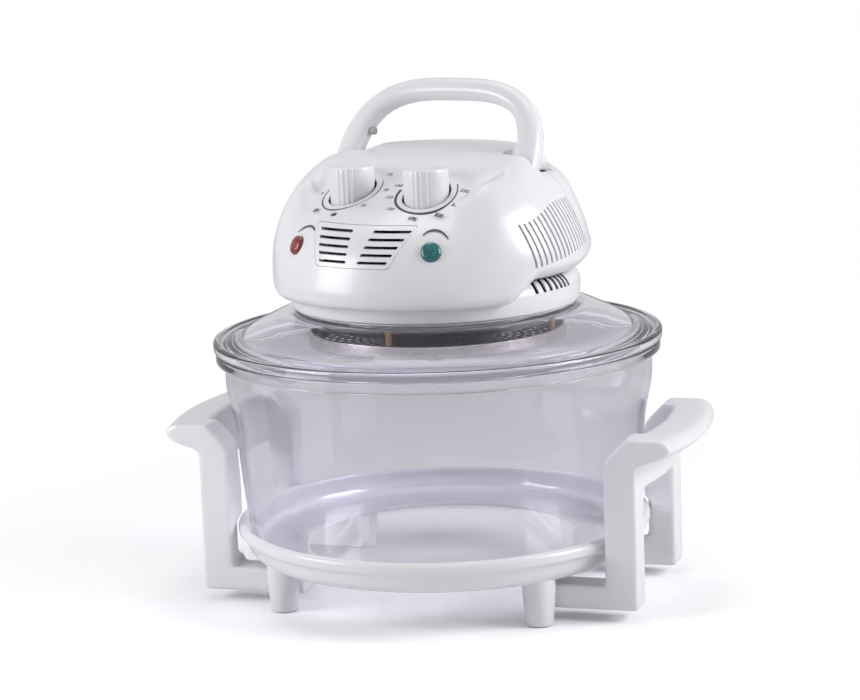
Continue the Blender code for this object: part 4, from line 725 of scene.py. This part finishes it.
# Housing surface: outlines as shares of the head's radius and height
FRONT_SHARES = (
    (0.800, 0.622), (0.848, 0.584), (0.888, 0.528), (0.924, 0.468), (0.952, 0.399), (0.972, 0.330),
    (0.988, 0.253), (0.997, 0.184), (0.990, 0.133), (0.956, 0.101), (0.903, 0.096),
)
UPPER_SHARES = (
    (0.760, 0.854), (0.808, 0.785), (0.856, 0.717), (0.892, 0.648), (0.924, 0.567), (0.952, 0.481),
)
CORNER_SHARES = (
    *UPPER_SHARES, (0.970, 0.391), (0.979, 0.279), (0.976, 0.172), (0.948, 0.111), (0.895, 0.093),
)
SIDE_SHARES = (
    *UPPER_SHARES, (0.972, 0.399), (0.978, 0.335), (0.968, 0.288), (0.928, 0.245), (0.862, 0.219),
)
REAR_SHARES = (
    (0.720, 0.858), (0.772, 0.815), (0.808, 0.768), (0.836, 0.700), (0.872, 0.614), (0.908, 0.511),
    (0.936, 0.403), (0.946, 0.352), (0.936, 0.313), (0.904, 0.266), (0.858, 0.219),
)
PANEL_SHARES = (
    (-0.850, 0.588), (-0.824, 0.609), (-0.520, 0.764), (-0.160, 0.931), (0.080, 0.974), (0.32, 1.0),
    (0.9, 1.0),
)
CROWN_SHARES = (
    (0.0, 1.0), (0.496, 0.991), (0.611, 0.966), (0.661, 0.940), (0.712, 0.897), (0.760, 0.854),
    (0.808, 0.785),
)
TURN_STOPS = np.radians((35, 56, 71, 121))


def deck_height(x, y):
    """The deck: the softly rounded lesser of the sloping front panel, which bends round the bowl's axis
    towards the front, and the crown, stepped down to the ledges behind the handle's legs."""
    reach = PANEL_FRONT - PANEL_BACK
    bend = np.minimum(x * x / (2 * PANEL_ROUND * reach), PANEL_MOST_BEND)
    place = np.where(y < -PANEL_BACK, (y + PANEL_BACK * bend) / (1 - bend), y)
    place = np.where(place < -PANEL_FRONT, y - bend * reach, place)
    panel = HEAD_BOTTOM + HEAD_HEIGHT * along_table(PANEL_SHARES, place / HEAD_RADIUS)
    crown = HEAD_BOTTOM + HEAD_HEIGHT * along_table(CROWN_SHARES, np.hypot(x, y) / HEAD_RADIUS)
    gap = np.maximum(DECK_SOFTNESS - np.abs(crown - panel), 0)
    height = np.minimum(crown, panel) - gap ** 2 / (4 * DECK_SOFTNESS)
    outward = eased(np.abs(x), *LEDGE_SIDE) * eased(y, *LEDGE_BACK)
    return height - outward * np.maximum(height - DECK_LEDGE, 0)


def side_rows(angle, samples):
    """The housing's outline below the deck at each angle from the front, as (radius, height) samples: the
    front, corner, side and rear outlines blended by angle and run through by smooth curves."""
    turn = np.abs(angle)[:, None, None]
    tables = [np.array(table) for table in (FRONT_SHARES, CORNER_SHARES, SIDE_SHARES, REAR_SHARES)]
    rows = np.broadcast_to(tables[0], (len(angle), *tables[0].shape))
    for table, low, high in zip(tables[1:], TURN_STOPS, TURN_STOPS[1:]):
        weight = eased(turn, low, high)
        rows = rows + (table - rows) * weight
    rows = rows * (HEAD_RADIUS, HEAD_HEIGHT) + (0, HEAD_BOTTOM)
    return through(rows, samples)


def housing_shell():
    """The closed shell of the housing: rings over the deck, the side outlines below them, softened where
    they meet, and the same surface drawn in towards a point inside as the inner skin."""
    angle = np.linspace(-math.pi, math.pi, HOUSING_COLUMNS, endpoint=False)
    side = side_rows(angle, SIDE_SAMPLES)
    edge = side[:, :1, 0]
    share = np.concatenate([[0.0, 0.02], np.linspace(0.04, 1.0, DECK_RINGS)])[None, :]
    radius = edge * share
    x, y = radius * np.sin(angle)[:, None], -radius * np.cos(angle)[:, None]
    height = deck_height(x, y)
    height += (side[:, :1, 1] - height[:, -1:]) * eased(share, 0.86, 1.0)
    radius = np.concatenate([radius, side[:, 1:, 0]], axis=1)
    height = np.concatenate([height, side[:, 1:, 1]], axis=1)
    outer = polar(radius, angle[:, None], height).transpose(1, 0, 2)
    past_edge = np.arange(len(outer)) - share.shape[1]
    soft = (eased(past_edge, -10, -2) * (1 - eased(past_edge, 6, 26)))[1:-1, None, None] / 2
    for _ in range(EDGE_PASSES):
        mean = (outer[2:] + outer[:-2]) / 2
        outer[1:-1] += soft * (mean - outer[1:-1])
    centre = np.array((0, 0, HEAD_BOTTOM + HOUSING_CENTRE))
    inner = centre + (outer[np.r_[0:len(outer):3, len(outer) - 1]] - centre) * HOUSING_SCALE
    rows = np.concatenate([outer, inner[::-1]])
    return rows.reshape(-1, 3), grid_faces(len(rows), HOUSING_COLUMNS)


def surface_radius(angle, height):
    """The radius of the housing's side at each angle and height, read along its outline."""
    side = side_rows(angle, 160)
    below = side[:, :, 1] <= height[:, None]
    index = np.clip(np.argmax(below, axis=1), 1, side.shape[1] - 1)
    row = np.arange(len(angle))
    upper, lower = side[row, index - 1], side[row, index]
    share = np.clip((upper[:, 1] - height) / (upper[:, 1] - lower[:, 1]), 0, 1)
    return upper[:, 0] + (lower[:, 0] - upper[:, 0]) * share


def seam_cut(toward):
    """The half space behind (1) or before (-1) the leaning seam plane, as a block along X."""
    low, high, far = HEAD_BOTTOM - 0.1, HEAD_BOTTOM + 0.3, toward * 0.3
    deck = HEAD_BOTTOM + HEAD_HEIGHT
    near = [(SEAM_PLACE + (deck - z) * math.tan(SEAM_LEAN) - toward * 0.0002, z) for z in (low, high)]
    return block(np.array([*near, (far, high), (far, low)]), 0, -0.3, 0.3)


def round_cut(x, y, low, high, radius, steps=96):
    """An upright round cutter."""
    points, faces = turned([(0, low), (radius, low), (radius, high), (0, high)], steps)
    return points + (x, y, 0), faces


def leg_pocket(side):
    """The slot in which a leg swings: the leg's own thickness swept from upright back to folded, along X."""
    play, reach = 0.0011, 0.040
    half = HANDLE_HALF_THICK + play
    front, back = HANDLE_LEAN, HANDLE_LEAN + HANDLE_FOLD
    centre = PIVOT[1:]

    def at(lean, across, along):
        return centre + across * np.array((-math.cos(lean), math.sin(lean))) + along * np.array(
            (math.sin(lean), math.cos(lean)))

    lean = front - (math.pi - HANDLE_FOLD) * np.linspace(0, 1, 14)
    arc = centre + half * np.stack([-np.cos(lean), np.sin(lean)], axis=1)
    section = np.vstack([at(front, half, reach), arc, at(back, -half, reach), centre + reach * 2])
    leg = HANDLE_LEG_HALF + play
    return block(section, 0, side * (HANDLE_HALF_SPAN - leg), side * (HANDLE_HALF_SPAN + leg))


def louvre_cuts(side):
    """The upright louvres: two groups whose heads and feet follow slanted lines, each a thin box that bows
    back a little as it rises."""
    rise = np.linspace(0, 1, 14)
    places = np.concatenate([np.linspace(0.0, 0.50, 8), np.linspace(0.565, 1.0, 7)])
    cuts = []
    for place in places:
        top = math.radians(63.0 + 33.0 * place)
        bottom = math.radians(67.5 + 34.0 * place)
        angle = side * (bottom + (top - bottom) * rise ** 1.35)
        low = HEAD_BOTTOM + 0.0365 + 0.0095 * place
        high = HEAD_BOTTOM + 0.0685 + 0.0120 * eased(place, 0, 0.75)
        height = low + (high - low) * rise
        half = (0.0010 if place < 0.53 else 0.0008) / HEAD_RADIUS
        near, far = 0.100, 0.132
        corners = [
            polar(radius, angle + turn, height)
            for radius, turn in ((near, -half), (far, -half), (far, half), (near, half))
        ]
        cuts.append(tube(np.stack(corners, axis=1)))
    return cuts


def grille_block(play):
    """The grille's outline with round corners, grown by some play and carried along Y."""
    low, high = GRILLE_BOTTOM - play, GRILLE_TOP + play
    low_half, high_half = GRILLE_BOTTOM_HALF + play, GRILLE_TOP_HALF + play
    corners = [(-low_half, low), (low_half, low), (high_half, high), (-high_half, high)]
    return block(softened(corners, 0.003, 6, closed=True), 1, -0.128, -0.060)


def grille_slot_cuts():
    """Five slots in each half, their outer ends on the grille's slanting sides."""
    margin, half = 0.0039, 0.0010
    pitch = (GRILLE_TOP - GRILLE_BOTTOM - 2 * margin) / (GRILLE_SLOTS - 1)
    cuts = []
    for index in range(GRILLE_SLOTS):
        middle = GRILLE_BOTTOM + margin + index * pitch
        share = index / (GRILLE_SLOTS - 1)
        for inner, outer in ((-0.0038 - 0.0007 * share, -0.0285 - 0.0072 * share),
                             (0.0055 + 0.0063 * share, 0.0285 + 0.0112 * share)):
            slant = half * np.sign(outer) * 0.4
            outline = np.array([
                (inner, middle - half), (outer - slant, middle - half), (outer + slant, middle + half),
                (inner + slant, middle + half),
            ])
            cuts.append(block(softened(outline, 0.0007, 4, closed=True), 1, -0.13, -0.06))
    return cuts


def lamp_axes(side):
    """The place of a pilot lamp, then its directions across, up and outward."""
    turn = side * math.atan2(LAMP_SIDE, LAMP_FORWARD)
    across = np.array((math.cos(turn), math.sin(turn), 0))
    level = np.array((math.sin(turn), -math.cos(turn), 0))
    outward = level * math.cos(LAMP_TILT) + np.array((0, 0, math.sin(LAMP_TILT)))
    place = np.array((side * LAMP_SIDE, -LAMP_FORWARD, HEAD_BOTTOM + LAMP_HEIGHT))
    return place, across, np.cross(outward, across), outward


def on_lamp(side, shape):
    """Places a shape that was turned round Z on a lamp's outward direction."""
    place, across, up, outward = lamp_axes(side)
    points, faces = shape
    return place + points[:, :1] * across + points[:, 1:2] * up + points[:, 2:] * outward, faces


def housings():
    """Front and rear shells met at the seam, with wells, pockets, louvres, lamp seats, the grille's bay, and
    holes for the switch plunger and the bush of the lead."""
    shell = housing_shell()
    front, rear, grille = (
        piece(name, shell, WHITE, "lid_head", (node,)) for name, node in
        (("front_shell", "front_housing"), ("rear_shell", "rear_housing"), ("grille_panel", "front_grille"))
    )
    pockets = [leg_pocket(side) for side in (-1, 1)]
    louvres = joined(*louvre_cuts(-1), *louvre_cuts(1))
    wells = []
    seat = LAMP_RADIUS + 0.0003
    for side in (-1, 1):
        wells.append(round_cut(side * KNOB_SIDE, KNOB_PLACE, HEAD_BOTTOM, KNOB_TOP, KNOB_WELL))
        wells.append(on_lamp(side, turned([(0, -0.02), (seat, -0.02), (seat, 0.01), (0, 0.01)], 48)))
    carved(front, seam_cut(1), *pockets, louvres, *wells, grille_block(0.0003))
    plunger = round_cut(-0.0755, 0.040, HEAD_BOTTOM + 0.08, KNOB_TOP + 0.01, 0.0023, 32)
    bush_radius, bush_height = 0.0078, HEAD_BOTTOM + 0.0505
    points, faces = turned([(0, 0.06), (bush_radius, 0.06), (bush_radius, 0.14), (0, 0.14)], 48)
    bush = np.stack([points[:, 0], points[:, 2], bush_height + points[:, 1]], axis=1), faces
    carved(rear, seam_cut(-1), *pockets, louvres, plunger, bush)
    carved(grille, grille_block(0), operation="INTERSECT")
    carved(grille, joined(*grille_slot_cuts()))


# Front panel fittings
def knob(side, body, node):
    """A tall knob: a round wall whose front carries a slightly proud fluted band, and a dished top."""
    turn = np.linspace(0, math.tau, 288, endpoint=False)
    x, y = np.sin(turn), -np.cos(turn)
    across = x * KNOB_RADIUS
    band = (1 - eased(np.abs(across), KNOB_BAND_HALF - 0.0004, KNOB_BAND_HALF + 0.0002)) * (y < 0)
    flutes = band * (0.5 + 0.5 * np.cos(across / KNOB_BAND_HALF * math.pi * 3)) * 0.00045
    wall = np.ones_like(turn) * KNOB_RADIUS + band * 0.0007 - flutes
    levels = np.array([
        (1.0, -KNOB_HEIGHT), (1.0, -0.020), (1.0, -0.010), (1.0, -0.0022), (0.990, -0.0012), (0.965, -0.0004),
        (0.92, 0.0), (0.80, -0.0001), (0.70, -0.0004), (0.35, -0.0007),
    ])
    radius = wall[None, :] * levels[:, :1]
    height = np.broadcast_to(KNOB_TOP + levels[:, 1:], radius.shape)
    cos, sin = math.cos(KNOB_TURN), math.sin(KNOB_TURN)
    wall_x = side * KNOB_SIDE + radius * (x * cos - y * sin)
    wall_y = KNOB_PLACE + radius * (x * sin + y * cos)
    cap = tube(np.stack([wall_x, wall_y, height], axis=2))
    piece(node + "_cap", cap, WHITE, body, (node,), crease=24)


def on_deck(x, y, lift):
    """Points of the head's frame that lie on the deck, lifted by some height."""
    return np.stack(np.broadcast_arrays(x, y, deck_height(x, y) + lift), axis=-1)


def printed(name, shape):
    """A mark printed on the housing."""
    piece(name, shape, INK, "lid_head")


def print_section(sunk):
    """The corners of a printed band's section: the side of its middle line, and the lift."""
    return (-1, sunk), (1, sunk), (1, PRINT_PROUD), (-1, PRINT_PROUD)


def dial_ring(name, side, start, end, thickness):
    """A printed ring round a knob: a band between two angles, its width following a curve along it."""
    samples = 120
    angle = np.radians(np.linspace(start, end, samples))
    half = thickness(np.linspace(0, 1, samples)) / 2
    loops = []
    for out, lift in print_section(PRINT_SUNK):
        reach = DIAL_RADIUS + out * half
        x, y = side * KNOB_SIDE + reach * np.sin(angle), KNOB_PLACE - reach * np.cos(angle)
        loops.append(on_deck(x, y, lift))
    printed(name, tube(np.stack(loops, axis=1)))


def numeral(text, x, y):
    """A plain number drawn on the deck, as (points, faces): its flat outline is laid along the slope."""
    curve = bpy.data.curves.new("numeral", "FONT")
    curve.body = text
    curve.size = NUMERAL_SIZE
    curve.align_x = "CENTER"
    curve.align_y = "CENTER"
    curve.extrude = 0.0002
    curve.offset = NUMERAL_SIZE * 0.012
    flat = bpy.data.objects.new("numeral", curve)
    bpy.context.scene.collection.objects.link(flat)
    work = bmesh.new()
    work.from_mesh(evaluated(flat))
    bmesh.ops.triangulate(work, faces=work.faces)
    places = np.array([vertex.co[:] for vertex in work.verts])
    faces = np.array([[vertex.index for vertex in face.verts] for face in work.faces])
    work.free()
    bpy.data.objects.remove(flat, do_unlink=True)
    lift = np.where(places[:, 2] > 0, PRINT_PROUD, PRINT_SUNK)
    return on_deck(x + places[:, 0], y + places[:, 1] * 0.9, lift), faces


def numerals(name, side, marks):
    """The numbers round a knob, each at its angle from the front."""
    parts = []
    for text, degrees in marks:
        angle = math.radians(degrees)
        x = side * KNOB_SIDE + NUMERAL_RADIUS * math.sin(angle)
        parts.append(numeral(text, x, KNOB_PLACE - NUMERAL_RADIUS * math.cos(angle)))
    printed(name, joined(*parts))


def lamp(side, colour, finish):
    """A pilot lamp: a domed lens, and the thin printed arc above it."""
    outline = softened([
        (0, -0.0066), (LAMP_RADIUS, -0.0066), (LAMP_RADIUS, 0.0002), (0.0058, 0.0014), (0.003, 0.0021),
        (0, 0.0023),
    ], (0, 0.0004, 0.0006, 0.002, 0.002, 0), 6)
    dome = on_lamp(side, turned(outline, 72))
    piece(f"lamp_dome_{colour}", dome, finish, "lid_head", (f"lamp_lens_{colour}",))
    place, across, up, _ = lamp_axes(side)
    centre, arc_radius, start, end = LAMP_ARCS[side]
    samples = 60
    turn = np.radians(np.linspace(start, end, samples))
    swell = 0.00035 + 0.00025 * np.sin(np.linspace(0, math.pi, samples))
    loops = []
    for out, lift in print_section(ARC_SUNK):
        reach = arc_radius + out * swell
        flat = place + (centre[0] + reach * np.sin(turn))[:, None] * across
        flat = flat + (centre[1] + reach * np.cos(turn))[:, None] * up
        angle = np.arctan2(flat[:, 0], -flat[:, 1])
        radius = surface_radius(angle, flat[:, 2]) + lift
        loops.append(polar(radius, angle, flat[:, 2]))
    printed(f"lamp_arc_{colour}", tube(np.stack(loops, axis=1)))


# Carry handle
def carry_handle():
    """The arch: a superellipse from pivot to pivot, wide in its legs and slimmer along the grip, with a
    rounded oblong section set square to its line."""
    turn = math.pi * (1 - np.linspace(0, 1, 141))
    power = 2 / HANDLE_POWER
    x = HANDLE_HALF_SPAN * np.sign(np.cos(turn)) * np.abs(np.cos(turn)) ** power
    rise = HANDLE_RISE * np.abs(np.sin(turn)) ** power
    rise[[0, -1]] = 0
    feet = 8
    foot_drop = np.linspace(-HANDLE_FOOT_LENGTH, -0.0006, feet)
    x = np.concatenate([np.full(feet, -HANDLE_HALF_SPAN), x, np.full(feet, HANDLE_HALF_SPAN)])
    rise = np.concatenate([foot_drop, rise, foot_drop[::-1]])
    line = np.stack([x, np.zeros_like(x), rise], axis=1)
    tangent = np.gradient(line, axis=0)
    tangent[:feet] = (0, 0, 1)
    tangent[-feet:] = (0, 0, -1)
    tangent /= np.linalg.norm(tangent, axis=1, keepdims=True)
    across = np.stack([tangent[:, 2], np.zeros_like(x), -tangent[:, 0]], axis=1)
    share = np.maximum(rise, 0) / HANDLE_RISE
    half = HANDLE_FOOT_HALF + (HANDLE_LEG_HALF - HANDLE_FOOT_HALF) * eased(share, 0, 0.3)
    half += (HANDLE_GRIP_HALF - half) * eased(share, 0.45, 0.9)
    around = np.linspace(0, math.tau, 48, endpoint=False)
    cos, sin = np.cos(around), np.sin(around)
    wide, deep = (np.sign(part) * np.abs(part) ** HANDLE_ROUND for part in (cos, sin))
    sections = line[:, None] + across[:, None] * (half[:, None] * wide)[:, :, None]
    sections[:, :, 1] += HANDLE_HALF_THICK * deep
    lean = np.array(Matrix.Rotation(-HANDLE_LEAN, 3, "X"))
    arch = tube(PIVOT + sections @ lean.T)
    piece("carry_arch", arch, WHITE, "carry_handle", ("carry_handle",))


def handle_nub():
    """The small stop on the left leg's inner side: a stem with a rounded head."""
    low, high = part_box("handle_nub")
    middle = np.array((low + high) / 2) @ HEAD_AXES
    outline = softened([
        (0, -0.005), (0.0026, -0.005), (0.0026, 0.002), (0.0031, 0.0024), (0.0031, 0.0048), (0, 0.0052),
    ], (0, 0.0003, 0.0003, 0.0005, 0.0012, 0), 5)
    points, faces = turned(outline, 40)
    stop = middle + points[:, [2, 0, 1]], faces
    piece("leg_stop", stop, GREY, "carry_handle", ("handle_nub",))


# The pieces in turn
cradle_ring()
for corner_name in ("front_left", "front_right", "rear_left", "rear_right"):
    foot(f"foot_{corner_name}")
handle_frame("handle_frame_left")
handle_frame("handle_frame_right")
glass_bowl()
glass_lid()
guard()
reflector()
for number in range(1, 5):
    guard_post(f"guard_post_{number}")
head_base()
housings()
knob(-1, "timer", "timer_knob")
knob(1, "thermostat", "thermostat_knob")
dial_ring("timer_ring", -1, -118, 122, lambda share: 0.0005 + 0.0004 * np.sin(share * 9) ** 2)
dial_ring("thermostat_ring", 1, -95, 128, lambda share: 0.0022 - 0.0014 * share)
numerals("timer_numbers", -1, (("60", -91), ("50", -46), ("40", 1), ("30", 48), ("20", 92), ("10", 133)))
numerals("thermostat_numbers", 1, (
    ("65", -132), ("100", -103), ("125", -74), ("150", -40), ("175", 8), ("200", 48), ("225", 78),
    ("250", 108),
))
lamp(-1, "red", RED)
lamp(1, "green", GREEN)
carry_handle()
handle_nub()

# Finishes of the carried-over pieces
FINISHES = {
    finish.name: finish
    for finish in (WHITE, GLASS, STEEL, DARK, BRONZE, RUBBER, GREY, BLACK, RED, GREEN, BOARD)
}
for row in frame["record"]["subparts"]:
    mesh = frame["nodes"][row["node"]].data
    mesh.materials.clear()
    seal = row["node"] == "lid_gasket"
    finish = SILICONE if seal else FINISHES[row["material_slot"]]
    mesh.materials.append(finish.material)


# Floor, light and camera
def floor():
    """A pale floor that the camera sees as white, darkened only by the object's shadow."""
    made = Finish("floor", (0.86, 0.86, 0.87), 1.0, Specular_IOR_Level=0.0)
    seen = made.node("ShaderNodeLightPath", {}, {}, "Is Camera Ray")
    made.feed("Base Color", made.blend(seen, (0.86, 0.855, 0.87), (1.17, 1.17, 1.165)))
    away = made.node("ShaderNodeVectorMath", {"operation": "LENGTH"}, {0: made.place}, "Value")
    glow = made.node("ShaderNodeEmission", {}, {"Color": (1, 1, 1, 1), "Strength": 1.0})
    made.give_way(made.math("MULTIPLY", seen, made.ramp(away, *FLOOR_FADE, "SMOOTHSTEP")), glow)
    corners = [(x * FLOOR_HALF, y * FLOOR_HALF, 0) for x, y in ((-1, -1), (1, -1), (1, 1), (-1, 1))]
    mesh = bpy.data.meshes.new("floor")
    mesh.from_pydata(corners, [], [(0, 1, 2, 3)])
    mesh.materials.append(made.material)
    plane = bpy.data.objects.new("floor", mesh)
    bpy.context.scene.collection.objects.link(plane)


def world():
    """White where the camera, a reflection or the glass sees it, and a softer light on everything else."""
    studio = bpy.data.worlds.new("studio")
    studio.use_nodes = True
    bpy.context.scene.world = studio
    made = Nodes(studio.node_tree)
    straight, glossy, passed = (
        made.node("ShaderNodeLightPath", {}, {}, f"Is {kind} Ray")
        for kind in ("Camera", "Glossy", "Transmission")
    )
    clear = made.math("MAXIMUM", straight, passed)
    settings = {"operation": "MULTIPLY_ADD", "use_clamp": True}
    seen = made.node("ShaderNodeMath", settings, {0: glossy, 1: GLOSS_SHARE, 2: clear})
    level = made.node("ShaderNodeMapRange", {}, {"Value": seen, "To Min": SHADE_LIGHT, "To Max": 1.0})
    tone = made.blend(seen, (0.95, 0.93, 1.0), (1, 1, 1))
    back = made.tree.nodes["Background"]
    made.fill(back.inputs["Strength"], level)
    made.fill(back.inputs["Color"], tone)


def soft_light(name, place, aim, size, power):
    """A square lamp at a place, turned towards a point."""
    data = bpy.data.lights.new(name, "AREA")
    data.size = size
    data.energy = power
    lamp_object = bpy.data.objects.new(name, data)
    lamp_object.location = place
    lamp_object.rotation_euler = (Vector(aim) - Vector(place)).to_track_quat("-Z", "Y").to_euler()
    bpy.context.scene.collection.objects.link(lamp_object)


def camera():
    """The photograph's view: from the right and above, rolled a little, aimed beside the bowl's axis."""
    turn = Matrix.Rotation(VIEW_TURN, 3, "Z") @ Matrix.Rotation(math.pi / 2 - VIEW_RISE, 3, "X")
    place = VIEW_AIM + turn @ Vector((-VIEW_LEFT, 0, VIEW_DISTANCE))
    rolled = turn @ Matrix.Rotation(-VIEW_ROLL, 3, "Z")
    data = bpy.data.cameras.new("camera")
    data.sensor_width = SENSOR_WIDTH
    data.lens = VIEW_LENS * SENSOR_WIDTH
    made = bpy.data.objects.new("camera", data)
    made.matrix_world = Matrix.Translation(place) @ rolled.to_4x4()
    bpy.context.scene.collection.objects.link(made)
    bpy.context.scene.camera = made


floor()
world()
soft_light("key", (-0.95, -0.70, 0.60), (0, 0, 0.20), 0.6, 7.6)
soft_light("top", (-0.25, 0.15, 2.2), (0, 0, 0.1), 1.3, 11)
soft_light("side", (1.5, 0.05, 0.9), (0, 0, 0.25), 0.8, 18)
camera()
bpy.context.scene.view_settings.view_transform = "Standard"
